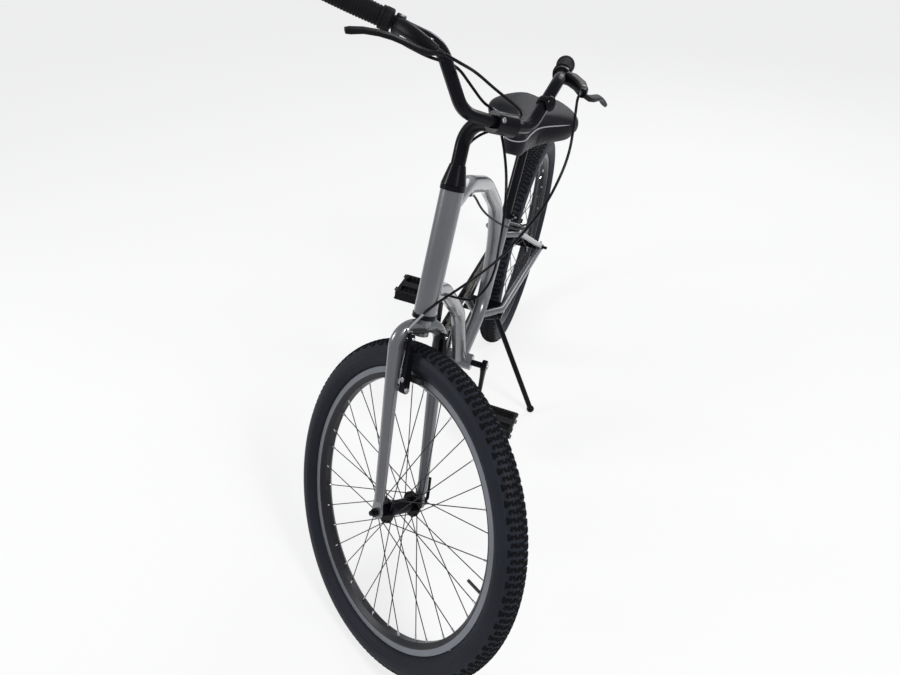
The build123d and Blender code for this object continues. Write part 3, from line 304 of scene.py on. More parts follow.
def finish(name, color, roughness, metallic=0.0, clouds=0.12, dust=0.08, scale=12.0, bump=None,
           bump_strength=0.2, **sockets):
    """Principled material with the cloudy tone group, and an optional height group as bump."""
    material = bpy.data.materials.new(name)
    material.use_nodes = True
    links = material.node_tree.links
    shader = material.node_tree.nodes["Principled BSDF"]
    cloudy = place_group(material, tone, Color=(*color, 1), Dust_Color=DUST_COLOR, Clouds=clouds, Dust=dust,
                         Roughness=roughness, Scale=scale)
    links.new(cloudy.outputs["Color"], shader.inputs["Base Color"])
    links.new(cloudy.outputs["Roughness"], shader.inputs["Roughness"])
    shader.inputs["Metallic"].default_value = metallic
    set_inputs(shader, sockets)
    if bump is not None:
        group, values = bump
        relief = place_group(material, group, **values)
        bump_node = add_node(material.node_tree, "Bump", Strength=bump_strength, Distance=BUMP_DISTANCE)
        links.new(relief.outputs["Height"], bump_node.inputs["Height"])
        links.new(bump_node.outputs["Normal"], shader.inputs["Normal"])
    return material


def grained(name, color, roughness, clouds, relief, **changes):
    """Dark rubber, vinyl or plastic, with a pebbled grain and a low specular level."""
    values = {"Specular_IOR_Level": 0.1, "bump_strength": 0.12, **changes}
    return finish(name, color, roughness, clouds=clouds, dust=0.01, bump=(grain, relief), **values)


# %% The finishes of this bicycle
silver_paint = finish("silver_grey_paint", (0.150, 0.152, 0.162), 0.30, metallic=0.55, clouds=0.05, dust=0.02,
                      Coat_Weight=1.0, Coat_Roughness=0.03)
black_paint = finish("black_gloss_paint", (0.004, 0.004, 0.006), 0.22, clouds=0.1, dust=0.0,
                     Specular_IOR_Level=0.08, Coat_Weight=0.10, Coat_Roughness=0.05)
anodised = finish("black_anodised_rim", (0.014, 0.014, 0.018), 0.36, metallic=0.3, dust=0.03,
                  bump=(brushed, {"Scale": 900.0}), bump_strength=0.08)
track_metal = finish("bare_brake_track", (0.22, 0.23, 0.25), 0.38, metallic=0.9, clouds=0.12, dust=0.05,
                     bump=(brushed, {"Scale": 1400.0}), bump_strength=0.12)
black_wire = finish("black_spoke_wire", (0.016, 0.016, 0.018), 0.35, metallic=0.5, clouds=0.1, dust=0.03)
chrome = finish("polished_chrome", (0.62, 0.62, 0.63), 0.16, metallic=1.0, clouds=0.05, dust=0.06)
satin_alloy = finish("satin_alloy", (0.42, 0.42, 0.43), 0.34, metallic=1.0, clouds=0.08, dust=0.06,
                     bump=(brushed, {"Scale": 1100.0}), bump_strength=0.1)
side_rubber = grained("tyre_side_rubber", (0.016, 0.018, 0.025), 0.5, 0.14, {"Scale": 1500.0, "Crease": 0.6})
tread_rubber = grained("tyre_tread_rubber", (0.005, 0.005, 0.006), 0.7, 0.2, {"Scale": 1100.0, "Crease": 0.8},
                       Specular_IOR_Level=0.06, bump_strength=0.2)
grip_rubber = grained("grip_rubber", (0.007, 0.007, 0.008), 0.6, 0.12, {"Scale": 1300.0, "Crease": 0.5},
                      bump_strength=0.2)
saddle_vinyl = grained("saddle_vinyl", (0.006, 0.006, 0.009), 0.42, 0.1, {"Scale": 620.0, "Crease": 0.9},
                       Specular_IOR_Level=0.14, bump_strength=0.3, Sheen_Weight=0.05)
piping_cord = finish("saddle_piping", (0.34, 0.34, 0.35), 0.5, clouds=0.08, dust=0.05)
moulded_black = grained("moulded_black", (0.005, 0.005, 0.006), 0.38, 0.1, {"Scale": 1600.0, "Crease": 0.3})
cable_skin = finish("cable_housing", (0.005, 0.005, 0.006), 0.3, clouds=0.06, dust=0.0,
                    Specular_IOR_Level=0.1)
chain_steel = finish("oiled_chain_steel", (0.16, 0.145, 0.125), 0.36, metallic=0.9, clouds=0.2, dust=0.1,
                     bump=(brushed, {"Scale": 800.0}), bump_strength=0.1)
pad_rubber = finish("brake_pad_rubber", (0.010, 0.010, 0.010), 0.7, clouds=0.15, dust=0.05)
floor_paint = finish("pale_floor", (0.86, 0.86, 0.86), 0.9, clouds=0.01, dust=0.0, scale=2.0)

slot_finish = {
    "frame_paint": silver_paint, "black_steel": black_paint, "rim_metal": anodised, "spoke_steel": black_wire,
    "bright_metal": chrome, "alloy": satin_alloy, "tyre_rubber": side_rubber, "grip_rubber": grip_rubber,
    "saddle_vinyl": saddle_vinyl, "saddle_shell": moulded_black, "black_plastic": moulded_black,
    "chain_steel": chain_steel, "cable_housing": cable_skin, "guard_paint": black_paint,
    "pad_rubber": pad_rubber,
}
BLACK_NODES = ("front_brake_arms", "rear_brake_arms", "seat_clamp", "front_axle", "rear_axle")
for row in frame["record"]["subparts"]:
    for slot in nodes[row["node"]].material_slots:
        slot.material = black_paint if row["node"] in BLACK_NODES else slot_finish[row["material_slot"]]
print("finishes", len(bpy.data.materials))

# %% [markdown]
# ## Floor
# A large pale sheet lies under the wheels. Towards the camera it is mixed with plain white, so it
# comes near the white world and keeps the shadow. In a low view its far edge still shows.

# %% Floor
FLOOR_GLOW = 0.75
FLOOR_HALF = 12.0
bm = bmesh.new()
bmesh.ops.create_grid(bm, x_segments=1, y_segments=1, size=FLOOR_HALF)
floor_mesh = bpy.data.meshes.new("floor")
bm.to_mesh(floor_mesh)
bm.free()
floor_mesh.materials.append(floor_paint)
tree = floor_paint.node_tree
glow = add_node(tree, "Emission", Color=WHITE)
to_camera = add_node(tree, "LightPath")
share = add_node(tree, "Math")
share.operation = "MULTIPLY"
share.inputs[1].default_value = FLOOR_GLOW
tree.links.new(to_camera.outputs["Is Camera Ray"], share.inputs[0])
floor_mix = add_node(tree, "MixShader")
tree.links.new(share.outputs[0], floor_mix.inputs["Fac"])
tree.links.new(tree.nodes["Principled BSDF"].outputs[0], floor_mix.inputs[1])
tree.links.new(glow.outputs[0], floor_mix.inputs[2])
tree.links.new(floor_mix.outputs[0], tree.nodes["Material Output"].inputs["Surface"])
floor = bpy.data.objects.new("floor", floor_mesh)
scene.collection.objects.link(floor)

# %% [markdown]
# ## From a bmesh to a piece
# Every new piece ends the same way: it is moved from its own axes to its place on the bicycle, gets
# outward normals and smooth shading with sharp corners kept, and is told which body it rides on.


# %% Piece helpers
SHARP = math.radians(34)
SIDES = ((1, "left"), (-1, "right"))


def link_piece(mesh, name, material, body, stands_for=()):
    mesh.materials.clear()
    mesh.materials.append(material)
    mesh.shade_smooth()
    mesh.set_sharp_from_angle(angle=SHARP)
    piece = bpy.data.objects.new(name, mesh)
    scene.collection.objects.link(piece)
    if body is not None:
        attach(piece, body)
    if stands_for:
        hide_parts(*stands_for)
    print(name, len(mesh.polygons), "faces")
    return piece


def piece_from(bm, name, place, material, body, stands_for=()):
    """Finished object from a bmesh in millimetres and the matrix of its place."""
    bm.transform(place)
    bmesh.ops.recalc_face_normals(bm, faces=bm.faces)
    mesh = bpy.data.meshes.new(name)
    bm.to_mesh(mesh)
    bm.free()
    return link_piece(mesh, name, material, body, stands_for)


def final_mesh(holder):
    """Mesh of an object with its modifiers or its curve worked out."""
    bpy.context.view_layer.update()
    return bpy.data.meshes.new_from_object(holder.evaluated_get(bpy.context.evaluated_depsgraph_get()))


def stamp(target, source, place):
    """Adds a copy of a small bmesh to a larger one."""
    copy = bpy.data.meshes.new("stamp")
    source.to_mesh(copy)
    copy.transform(place)
    target.from_mesh(copy)
    bpy.data.meshes.remove(copy)


def turn_round(bm, geom, axis, steps):
    """Turns an outline once round an axis through the origin."""
    bmesh.ops.spin(bm, geom=geom, cent=(0, 0, 0), axis=axis, dvec=(0, 0, 0), angle=math.tau, steps=steps,
                   use_merge=True, use_duplicate=False)


def spin_outline(points, steps):
    """Ring turned about Y from an outline of (radius, y) points."""
    bm = bmesh.new()
    verts = [bm.verts.new((radius, across, 0)) for radius, across in points]
    edges = [bm.edges.new((verts[i], verts[(i + 1) % len(verts)])) for i in range(len(verts))]
    turn_round(bm, verts + edges, (0, 1, 0), steps)
    return bm


# %% [markdown]
# ## Tyres
# A cruiser tyre is a fat round tube of rubber with a smooth side and a band of small blocks. The CAD
# tyre is a plain ring. Here a circle is turned about the axle for the body of the tyre, with three
# thin ribs raised on each side, and rows of small wedge blocks are stamped round its black crown.

# %% Tyre body
WHEELS = (("front", FRONT_WHEEL), ("rear", REAR_WHEEL))
SECTION_R = 29.0
SECTION_CENTRE = 310.0
BEAD_R = 285.6
SIDE_RIBS = (62, 100, 112)
RIB_SPREAD = 2.6
RIB_RISE = 0.7
CROWN_EDGE = 58
CROWN_SINK = 0.4
TURN_STEPS = 180


def tyre_body():
    bm = bmesh.new()
    bmesh.ops.create_circle(bm, cap_ends=False, radius=SECTION_R, segments=72)
    for vert in bm.verts:
        angle = abs(math.degrees(math.atan2(vert.co.y, vert.co.x)))
        if any(abs(angle - rib) < RIB_SPREAD for rib in SIDE_RIBS):
            vert.co *= (SECTION_R + RIB_RISE) / SECTION_R
        elif angle < CROWN_EDGE:
            vert.co *= (SECTION_R - CROWN_SINK) / SECTION_R
        vert.co.x = max(vert.co.x + SECTION_CENTRE, BEAD_R)
    turn_round(bm, list(bm.verts) + list(bm.edges), (0, 1, 0), TURN_STEPS)
    for face in bm.faces:
        middle = face.calc_center_median()
        out = math.hypot(middle.x, middle.z) - SECTION_CENTRE
        if abs(math.degrees(math.atan2(middle.y, out))) < CROWN_EDGE:
            face.material_index = 1
    return bm


# %% Tread blocks
TREAD_ROWS = ((0, 150, 6.4, 10.2, 26), (14, 150, 5.6, 9.8, -26), (-14, 150, 5.6, 9.8, -26),
              (27, 150, 5.6, 9.8, 26), (-27, 150, 5.6, 9.8, 26), (40, 150, 5.4, 8.6, -14),
              (-40, 150, 5.4, 8.6, -14), (52, 75, 5.6, 13.0, 0), (-52, 75, 5.6, 13.0, 0))
BLOCK_HEIGHT = 3.0
BLOCK_TOP = 0.9
BLOCK_TAPER = 0.84
EDGE_ROW = 50
EDGE_SINK = 0.5


def tread_block(width, length, height):
    """Wedge block centred on its origin that narrows towards its top."""
    bm = bmesh.new()
    bmesh.ops.create_cube(bm, size=1.0)
    bmesh.ops.scale(bm, vec=(length, width, height), verts=bm.verts)
    tops = [vert for vert in bm.verts if vert.co.z > 0]
    bmesh.ops.scale(bm, vec=(BLOCK_TAPER, BLOCK_TAPER, 1.0), verts=tops)
    return bm


def tyre_tread():
    bm = bmesh.new()
    for row, (angle, count, width, length, skew) in enumerate(TREAD_ROWS):
        block = tread_block(width, length, BLOCK_HEIGHT)
        section = math.radians(angle)
        out = SECTION_R + BLOCK_TOP - BLOCK_HEIGHT / 2 - (EDGE_SINK if abs(angle) > EDGE_ROW else 0)
        seat = Matrix.Translation((0, math.sin(section) * out, SECTION_CENTRE + math.cos(section) * out))
        lean = Matrix.Rotation(-section, 4, "X") @ Matrix.Rotation(math.radians(skew), 4, "Z")
        for index in range(count):
            turn = Matrix.Rotation(math.tau * (index + (row % 2) / 2) / count, 4, "Y")
            stamp(bm, block, turn @ seat @ lean)
        block.free()
    return bm


for name, place in WHEELS:
    skin = piece_from(tyre_body(), f"{name}_tyre_body", place, side_rubber, f"{name}_wheel",
                      [f"{name}_tyre"])
    skin.data.materials.append(tread_rubber)
    piece_from(tyre_tread(), f"{name}_tyre_tread", place, tread_rubber, f"{name}_wheel")

# %% [markdown]
# ## Rims and spokes
# The black rims have a bare band on each side where the brake pads rub. It is a separate thin ring
# laid on the rim wall. Each spoke ends in a short nipple that stands in the rim, so one small
# eight-sided nipple is stamped at all thirty-six spoke ends, along the same lines as the CAD spokes.

# %% Brake tracks and nipples
TRACK = ((272.5, 14.9), (284.2, 14.9), (284.2, 15.25), (272.5, 15.25))
RIM_INNER = 262.0
SPOKES = 36
FLANGE = {"front": (22.5, 33.0), "rear": (25.5, 32.0)}
SPOKE_FACE = 3.05
SPOKE_SPLAY = 1.6
CROWN_QUARTER = 3.5
NIPPLE_BACK = 10


def spoke_ends(flange_r, flange_y):
    """Hub end and rim end of every spoke, three crossed, in the wheel's axes."""
    half = SPOKES // 2
    for side in (1, -1):
        for index in range(half):
            leading = 1 if index % 2 else -1
            hub_angle = math.tau * (index + (0.5 if side < 0 else 0)) / half
            rim_angle = hub_angle + leading * 3 * math.tau / half
            splay = SPOKE_SPLAY if leading > 0 else 0
            hub = Vector((flange_r * math.cos(hub_angle), side * (flange_y + leading * (SPOKE_FACE + splay)),
                          flange_r * math.sin(hub_angle)))
            rim = Vector((RIM_INNER * math.cos(rim_angle), side * CROWN_QUARTER,
                          RIM_INNER * math.sin(rim_angle)))
            yield hub, rim


def rod_matrix(start, end):
    """Matrix that puts Z along the line from start, with its origin there."""
    along = Vector(end) - Vector(start)
    return Matrix.Translation(start) @ along.to_track_quat("Z", "Y").to_matrix().to_4x4()


def lathe(profile, segments):
    """Round piece about Z from (radius, height) points, closed at both ends."""
    bm = bmesh.new()
    verts = [bm.verts.new((radius, 0, height)) for radius, height in profile]
    edges = [bm.edges.new(pair) for pair in zip(verts, verts[1:])]
    turn_round(bm, verts + edges, (0, 0, 1), segments)
    bmesh.ops.remove_doubles(bm, verts=bm.verts, dist=0.001)
    bmesh.ops.holes_fill(bm, edges=bm.edges, sides=segments)
    return bm


def band(inner, outer, half, chamfer_in, chamfer_up, segments):
    """Ring about Z with chamfered outer corners."""
    return lathe(((inner, -half), (outer - chamfer_in, -half), (outer, chamfer_up - half),
                  (outer, half - chamfer_up), (outer - chamfer_in, half), (inner, half)), segments)


NIPPLE = ((1.5, 0), (1.9, 0.6), (1.9, 9.0), (2.6, 10.5), (2.6, 12.5))
for name, place in WHEELS:
    tracks = spin_outline(TRACK, TURN_STEPS)
    other = spin_outline([(radius, -across) for radius, across in TRACK], TURN_STEPS)
    stamp(tracks, other, Matrix.Identity(4))
    other.free()
    piece_from(tracks, f"{name}_brake_track", place, track_metal, f"{name}_wheel")
    nipples = bmesh.new()
    nipple = lathe(NIPPLE, 8)
    for hub, rim in spoke_ends(*FLANGE[name]):
        along = (rim - hub).normalized()
        stamp(nipples, nipple, rod_matrix(rim - along * NIPPLE_BACK, rim))
    nipple.free()
    piece_from(nipples, f"{name}_spoke_nipples", place, chrome, f"{name}_wheel")

# %% [markdown]
# ## Cables
# The brake and gear cables leave the levers, swing in front of the bar and end in stops on the frame
# or in a brake's noodle. A cable has no corners, so each one is a NURBS curve over the points of its
# route, which follows the picture. The two that cross from bar to frame are set once where they lie and
# ride on no body. The front noodle leans inwards to meet the cable from the left lever.

# %% Grip axes and cable routes
BAR_LOW = Vector((78.0, 62.0, 768.0))
BAR_HIGH = Vector((58.0, 140.0, 858.0))
BAR_TIP = Vector((-86.0, 305.0, 902.0))
GRIP_LENGTH = 128.0
LEVER_BACK = 25.0
CABLE_R = 2.5
CABLE_LEAD = 26.0


def grip_point(ahead_by, below_by, along_by, side):
    """Point in the grip's axes, from its inner end, given in the steering axes of one side."""
    along = (BAR_TIP - BAR_HIGH).normalized()
    grip_ahead = -Vector((0, 0, 1)).cross(along).normalized()
    grip_below = along.cross(grip_ahead)
    point = BAR_TIP - along * GRIP_LENGTH + grip_ahead * ahead_by + grip_below * below_by + along * along_by
    return Vector((point.x, side * point.y, point.z))


def placed(place, points):
    return [place @ Vector(point) for point in points]


def cable(name, points, radius=CABLE_R, closed=False):
    """Round cable along a NURBS curve, open or in a loop, as a mesh."""
    curve = bpy.data.curves.new(name, "CURVE")
    curve.dimensions = "3D"
    curve.bevel_depth = radius * MM
    curve.bevel_resolution = 3
    curve.use_fill_caps = not closed
    curve.resolution_u = 6 if closed else 10
    spline = curve.splines.new("NURBS")
    spline.points.add(len(points) - 1)
    for place, point in zip(points, spline.points):
        point.co = (*place, 1)
    spline.order_u = 3
    spline.use_endpoint_u = not closed
    spline.use_cyclic_u = closed
    holder = bpy.data.objects.new(name, curve)
    scene.collection.objects.link(holder)
    mesh = final_mesh(holder)
    bpy.data.objects.remove(holder)
    mesh.name = name
    return mesh


FRONT_MOUTH = ((39, -2, 418), (36, -22, 400))
REAR_MOUTH = ((20, -53.5, 422.5), (20, -53.5, 396.5))
LINK_START = Vector((31, -39.5, 366.5))
NOODLE_R = 2.6
BOOT = ((1.2, 0), (3.4, 1), (4.2, 5), (4.4, 9), (3.7, 12), (4.4, 15), (3.7, 18), (4.4, 21), (3.7, 24),
        (4.4, 27), (3.4, 34), (1.4, 42), (0.8, 44), (0.8, 78))
FRONT_BRAKE_TURN = math.radians(-9.34)
REAR_BRAKE_TURN = math.radians(57.74)
FRONT_BRAKE = FRONT_WHEEL @ Matrix.Rotation(FRONT_BRAKE_TURN, 4, "Y")
REAR_BRAKE = REAR_WHEEL @ Matrix.Rotation(REAR_BRAKE_TURN, 4, "Y") @ Matrix.Diagonal((-1, -1, 1, 1))
ARCH_STOP = Vector((763.4, 0.0, 840.3))
ARCH_RUN = Vector((0.922488, 0.0, 0.386026))
STOP_HALF = 7.0
DOWN_BOSS = Vector((924.3, 24.0, 698.3))


def lever_exit(side):
    return [grip_point(43, 12, -110, side), grip_point(40, 14, -136, side)]


front_cable = placed(STEER, [
    *lever_exit(1), (92, 166, 818), (110, 152, 784), (124, 142, 744), (134, 124, 700), (132, 104, 640),
    (118, 78, 584), (96, 60, 530)]) + placed(FRONT_BRAKE, [(60, 34, 450), *FRONT_MOUTH])
brake_cable = placed(STEER, [
    *lever_exit(-1), (90, -86, 832), (90, -36, 814), (88, 10, 801), (78, 50, 789), (58, 64, 774),
    (36, 50, 756), (12, 28, 740), (-8, 17, 714),
]) + placed(BIKE, [
    (858, -4, 944), (850, -17, 914), (838, -25, 888), (824, -20, 865), (809, -6, 857),
    ARCH_STOP + ARCH_RUN * (STOP_HALF + CABLE_LEAD), ARCH_STOP + ARCH_RUN * STOP_HALF])
gear_cable = placed(STEER, [
    *[grip_point(*spot, -1) for spot in ((6, 16.8, -12), (12, 22, -34), (20, 24, -60), (30, 25, -92))],
    (62, -104, 836), (60, -62, 811), (60, -28, 790), (54, -2, 785),
    (51, 22, 769), (62, 34, 738), (85, 29, 707), (104, 24, 676), (117, 22, 638),
]) + placed(BIKE, [
    (962, 112, 892), (930, 106, 836), (912, 104, 780), (914, 96, 736), (920, 76, 702),
    DOWN_BOSS + Vector((0, CABLE_LEAD, 0)), DOWN_BOSS])
rear_cable = placed(BIKE, [
    ARCH_STOP - ARCH_RUN * STOP_HALF, ARCH_STOP - ARCH_RUN * (STOP_HALF + CABLE_LEAD), (684, 10, 772),
    (628, 26, 726), (564, 46, 682), (504, 66, 650), (448, 84, 632), (402, 74, 616),
]) + placed(REAR_BRAKE, REAR_MOUTH)
noodle_run = placed(FRONT_BRAKE, [
    FRONT_MOUTH[1], (34, -34, 388), (32, -48, 374), (31, -50, 366.5), LINK_START])

link_piece(cable("front_brake_cable_skin", front_cable), "front_brake_cable_skin", cable_skin, "fork",
           ["front_brake_cable"])
link_piece(cable("leaning_noodle", noodle_run, NOODLE_R), "leaning_noodle", chrome, "fork",
           ["front_brake_noodle"])
piece_from(lathe(BOOT, 20), "front_cable_boot", FRONT_BRAKE @ rod_matrix(LINK_START, Vector((31, 0, 366.5))),
           pad_rubber, "fork")
link_piece(cable("rear_brake_cable_skin", rear_cable), "rear_brake_cable_skin", cable_skin, "frame",
           ["rear_brake_cable"])
for name, points in (("brake", brake_cable), ("gear", gear_cable)):
    piece = link_piece(cable(f"steering_{name}_cable", points), f"steering_{name}_cable", cable_skin, None,
                       ["steering_cables"])
    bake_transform(piece)

# %% [markdown]
# ## Lofts
# Lever blades, lever housings and other cast pieces are neither boxes nor lathe work: their section
# changes along a bent path. A loft makes them: a squared circle is placed at each station and the
# rings are bridged. Two numbers square the circle, so one helper serves for flat and for round shapes.


# %% Loft helper
def squared(value, power):
    return math.copysign(abs(value) ** power, value)


def loft(stations, upward, segments=20, power=0.7):
    """Closed bmesh through stations of (centre, half width, half height), with upward as height."""
    bm = bmesh.new()
    rings = []
    centres = [Vector(station[0]) for station in stations]
    for index, (centre, half_width, half_height) in enumerate(stations):
        along = (centres[min(index + 1, len(centres) - 1)] - centres[max(index - 1, 0)]).normalized()
        across = along.cross(upward).normalized()
        rise = across.cross(along)
        ring = bmesh.ops.create_circle(bm, cap_ends=False, radius=1.0, segments=segments)["verts"]
        for vert in ring:
            vert.co = (Vector(centre) + across * squared(vert.co.x, power) * half_width
                       + rise * squared(vert.co.y, power) * half_height)
        rings.append(ring)
    for first, second in zip(rings, rings[1:]):
        edges = {edge for ring in (first, second) for vert in ring for edge in vert.link_edges
                 if edge.other_vert(vert) in ring}
        bmesh.ops.bridge_loops(bm, edges=list(edges))
    for ring in (rings[0], rings[-1]):
        bmesh.ops.contextual_create(bm, geom=ring)
    return bm


def join(target, source, place=Matrix.Identity(4)):
    stamp(target, source, place)
    source.free()


# %% [markdown]
# ## Screws and nuts
# Real screw heads catch small glints all over a bicycle. A socket head is a short drum whose top is
# inset and pushed in, and a nut is a six-sided drum with its corners bevelled.


# %% Screw helpers
def socket_screw(radius, height):
    """Socket head on Z zero, pointing up."""
    bm = bmesh.new()
    bmesh.ops.create_cone(bm, cap_ends=True, radius1=radius, radius2=radius, depth=height, segments=18)
    bmesh.ops.translate(bm, vec=(0, 0, height / 2), verts=bm.verts)
    rims = [edge for edge in bm.edges if all(vert.co.z > height * 0.9 for vert in edge.verts)]
    bmesh.ops.bevel(bm, geom=rims, offset=radius * 0.14, segments=2, profile=0.5, affect="EDGES", material=-1)
    top = [face for face in bm.faces if face.calc_center_median().z > height * 0.99]
    bmesh.ops.inset_region(bm, faces=top, thickness=radius * 0.34)
    bmesh.ops.translate(bm, vec=(0, 0, -height * 0.6), verts=list({v for face in top for v in face.verts}))
    return bm


def hex_nut(radius, height):
    """Six-sided nut on Z zero with a domed stud end above it."""
    bm = bmesh.new()
    bmesh.ops.create_cone(bm, cap_ends=True, radius1=radius, radius2=radius, depth=height, segments=6)
    bmesh.ops.translate(bm, vec=(0, 0, height / 2), verts=bm.verts)
    bmesh.ops.bevel(bm, geom=list(bm.edges), offset=radius * 0.08, segments=2, profile=0.5, affect="EDGES",
                    material=-1)
    stud = lathe(((radius * 0.5, 0), (radius * 0.5, height * 1.4), (radius * 0.35, height * 1.6)), 14)
    join(bm, stud)
    return bm


def facing(point, direction):
    """Matrix that stands Z along a direction at a point."""
    return rod_matrix(Vector(point), Vector(point) + Vector(direction))


def screw_set(name, place, spots, source, body, material=satin_alloy):
    """One piece from a screw or nut stamped at every spot and direction."""
    bm = bmesh.new()
    for point, direction in spots:
        stamp(bm, source, facing(point, direction))
    source.free()
    return piece_from(bm, name, place, material, body)


# %% [markdown]
# ## Handlebar, grips and controls
# The bar is one bent tube. Its bends are wide and smooth, so it is a NURBS tube over the corners of
# its path with one more point on each side of a corner: the curve turns only between them. Grips and
# the twist ring are lathe work with ribs, and each brake lever is two lofts, housing and blade.

# %% Handlebar
BAR_R = 11.1
LOW_LEFT = 74.0
LOW_RIGHT = 86.0
BEND_RUNS = (46.0, 48.0)
CLAMP_EDGE = Vector((88, 22, 764))


def bar_points(low_y):
    """Control points of the bar from its middle to the left tip."""
    path = [Vector((88, 0, 764)), CLAMP_EDGE]
    stops = [CLAMP_EDGE, Vector((80, low_y, 768)), BAR_HIGH, BAR_TIP]
    for index, run in enumerate(BEND_RUNS):
        before, corner, after = stops[index:index + 3]
        path += [corner + (before - corner).normalized() * run, corner,
                 corner + (after - corner).normalized() * run]
    return path + [BAR_TIP - (BAR_TIP - BAR_HIGH).normalized() * 3]


right_half = [Vector((point.x, -point.y, point.z)) for point in bar_points(LOW_RIGHT)[1:]]
whole_bar = right_half[::-1] + bar_points(LOW_LEFT)[1:]
bar_mesh = cable("handlebar_tube", placed(STEER, whole_bar), BAR_R)
link_piece(bar_mesh, "handlebar_tube", black_paint, "fork", ["handlebar"])


# %% Ribbed grips and the twist ring
def grip_matrix(side, along_by=0.0):
    """Grip axes to metres: Z outwards along the grip, X ahead."""
    start = grip_point(0, 0, along_by, side)
    return STEER @ facing(start, grip_point(0, 0, along_by + 1, side) - start)


GRIP_R = 16.0
RIB_STEP = 5.0


def ribbed_grip():
    profile = [(BAR_R + 0.2, 0.3), (GRIP_R + 1.6, 0.3), (GRIP_R + 2.0, 1.2), (GRIP_R + 2.0, 4.0),
               (GRIP_R - 0.8, 5.2)]
    for rib in range(int((GRIP_LENGTH - 16) / RIB_STEP)):
        start = 7 + rib * RIB_STEP
        swell = 0.9 * math.sin(math.pi * (start - 7) / (GRIP_LENGTH - 16))
        profile += [(GRIP_R - 1.3 + swell, start), (GRIP_R - 0.4 + swell, start + 0.8),
                    (GRIP_R - 0.4 + swell, start + 3.2), (GRIP_R - 1.3 + swell, start + 4.0)]
    profile += [(GRIP_R + 2.4, GRIP_LENGTH - 6), (GRIP_R + 3.0, GRIP_LENGTH - 4),
                (GRIP_R + 3.0, GRIP_LENGTH - 1.4), (GRIP_R + 1.8, GRIP_LENGTH), (4.0, GRIP_LENGTH)]
    return lathe(profile, 40)


for side, name in SIDES:
    piece_from(ribbed_grip(), f"ribbed_grip_{name}", grip_matrix(side), grip_rubber, "fork",
               [f"grip_{name}"])

TWIST = ((BAR_R + 0.2, -13.2), (17.2, -13.2), (18.4, -12.0), (18.4, -1.6), (17.4, -0.4), (BAR_R + 0.2, -0.4))
TWIST_STEPS = 48
TWIST_GROOVE = 0.955
ring = lathe(TWIST, TWIST_STEPS)
for vert in ring.verts:
    step = round(math.atan2(vert.co.y, vert.co.x) / math.tau * TWIST_STEPS)
    if math.hypot(vert.co.x, vert.co.y) > 18 and step % 4 == 0:
        vert.co.x *= TWIST_GROOVE
        vert.co.y *= TWIST_GROOVE
piece_from(ring, "twist_ring", grip_matrix(-1), grip_rubber, "fork", ["twist_shifter"])

# %% Brake levers
HOUSING = (((6, 2, -27), 12, 12), ((22, 2, -38), 14, 12), ((38, 6, -60), 13, 11), ((46, 11, -82), 10, 10),
           ((47, 13, -96), 7, 8))
BLADE = (((48, 14, -98), 5, 4.5), ((58, 20, -84), 8.5, 4.5), ((66, 22, -68), 8.5, 4), ((72, 22, -52), 8, 3.6),
         ((78, 23, -32), 8, 3.6), ((82, 26, -13), 8, 3.6), ((87, 32, 8), 8, 3.6), ((92, 40, 25), 8.5, 4),
         ((94, 43, 31), 6.5, 3.4))
LEVER_MOUTH = (43, 12, -96)
LEVER_LEAD = (40, 14, -122)
LEVER_SCREWS = (((46, 2.4, -82), (0, -1, 0), 4.2), ((8, -12.5, -27), (0.2, -1, 0), 3.6))


def in_grip_axes(bm, side):
    """Moves a bmesh written as (ahead, below, along the grip) to the steering axes."""
    for vert in bm.verts:
        vert.co = grip_point(vert.co.x, vert.co.y, vert.co.z, side)
    return bm


for side, name in SIDES:
    lever = loft(HOUSING, Vector((0, -1, 0)), 20, 0.72)
    join(lever, loft(BLADE, Vector((-0.35, 0.9, 0)), 16, 0.6))
    join(lever, band(BAR_R + 0.2, 16, 7, 0.6, 1, 32), Matrix.Translation((0, 0, -LEVER_BACK)))
    nose = lathe(((3.2, 0), (4.6, 0.5), (4.6, 7), (3.6, 8.5), (3.4, 14)), 16)
    join(lever, nose, facing(LEVER_MOUTH, Vector(LEVER_LEAD) - Vector(LEVER_MOUTH)))
    in_grip_axes(lever, side)
    piece_from(lever, f"lever_and_housing_{name}", STEER, moulded_black, "fork",
               [f"brake_lever_{name}"])
    pins = bmesh.new()
    for spot, aim, size in LEVER_SCREWS:
        join(pins, socket_screw(size, 2.6), facing(spot, aim))
    in_grip_axes(pins, side)
    piece_from(pins, f"lever_screws_{name}", STEER, satin_alloy, "fork")

# %% Low bell on the left riser
BELL = ((8, 11.4), (12.4, 11.8), (13.6, 12.8), (13.8, 14), (12.6, 16.4), (9.6, 18.2), (5.6, 19.1), (2, 19.4))
BELL_SHIFT = Vector((1.5, 5, 0))
bell_spot = (BAR_LOW + BAR_HIGH) / 2 + BELL_SHIFT
bell_along = (BAR_HIGH - BAR_LOW).normalized()
bell_ahead = (Vector((1, 0, 0)) - bell_along * bell_along.x).normalized()
bell = lathe(BELL, 36)
join(bell, lathe(((1.8, 19.2), (2.2, 20.2), (1.4, 20.8)), 14))
piece_from(bell, "low_bell", STEER @ facing(bell_spot, bell_ahead), black_paint, "fork",
           ["bell"])
piece_from(band(BAR_R + 0.1, 13.9, 6, 0.5, 1, 32), "bell_strap", STEER @ facing(bell_spot, bell_along),
           moulded_black, "fork")

# %% [markdown]
# ## Saddle
# A cruiser saddle is foam under stretched vinyl: a wide tail with two soft wings, a short nose, and a
# deep side that hangs below a line of piping. A sphere is shaped to that plan, and then a short cloth
# simulation with a little air pressure lets the cover swell the way a stretched skin does. The piping
# is laid on the swollen skin afterwards, because the remesh before the simulation would erase it.

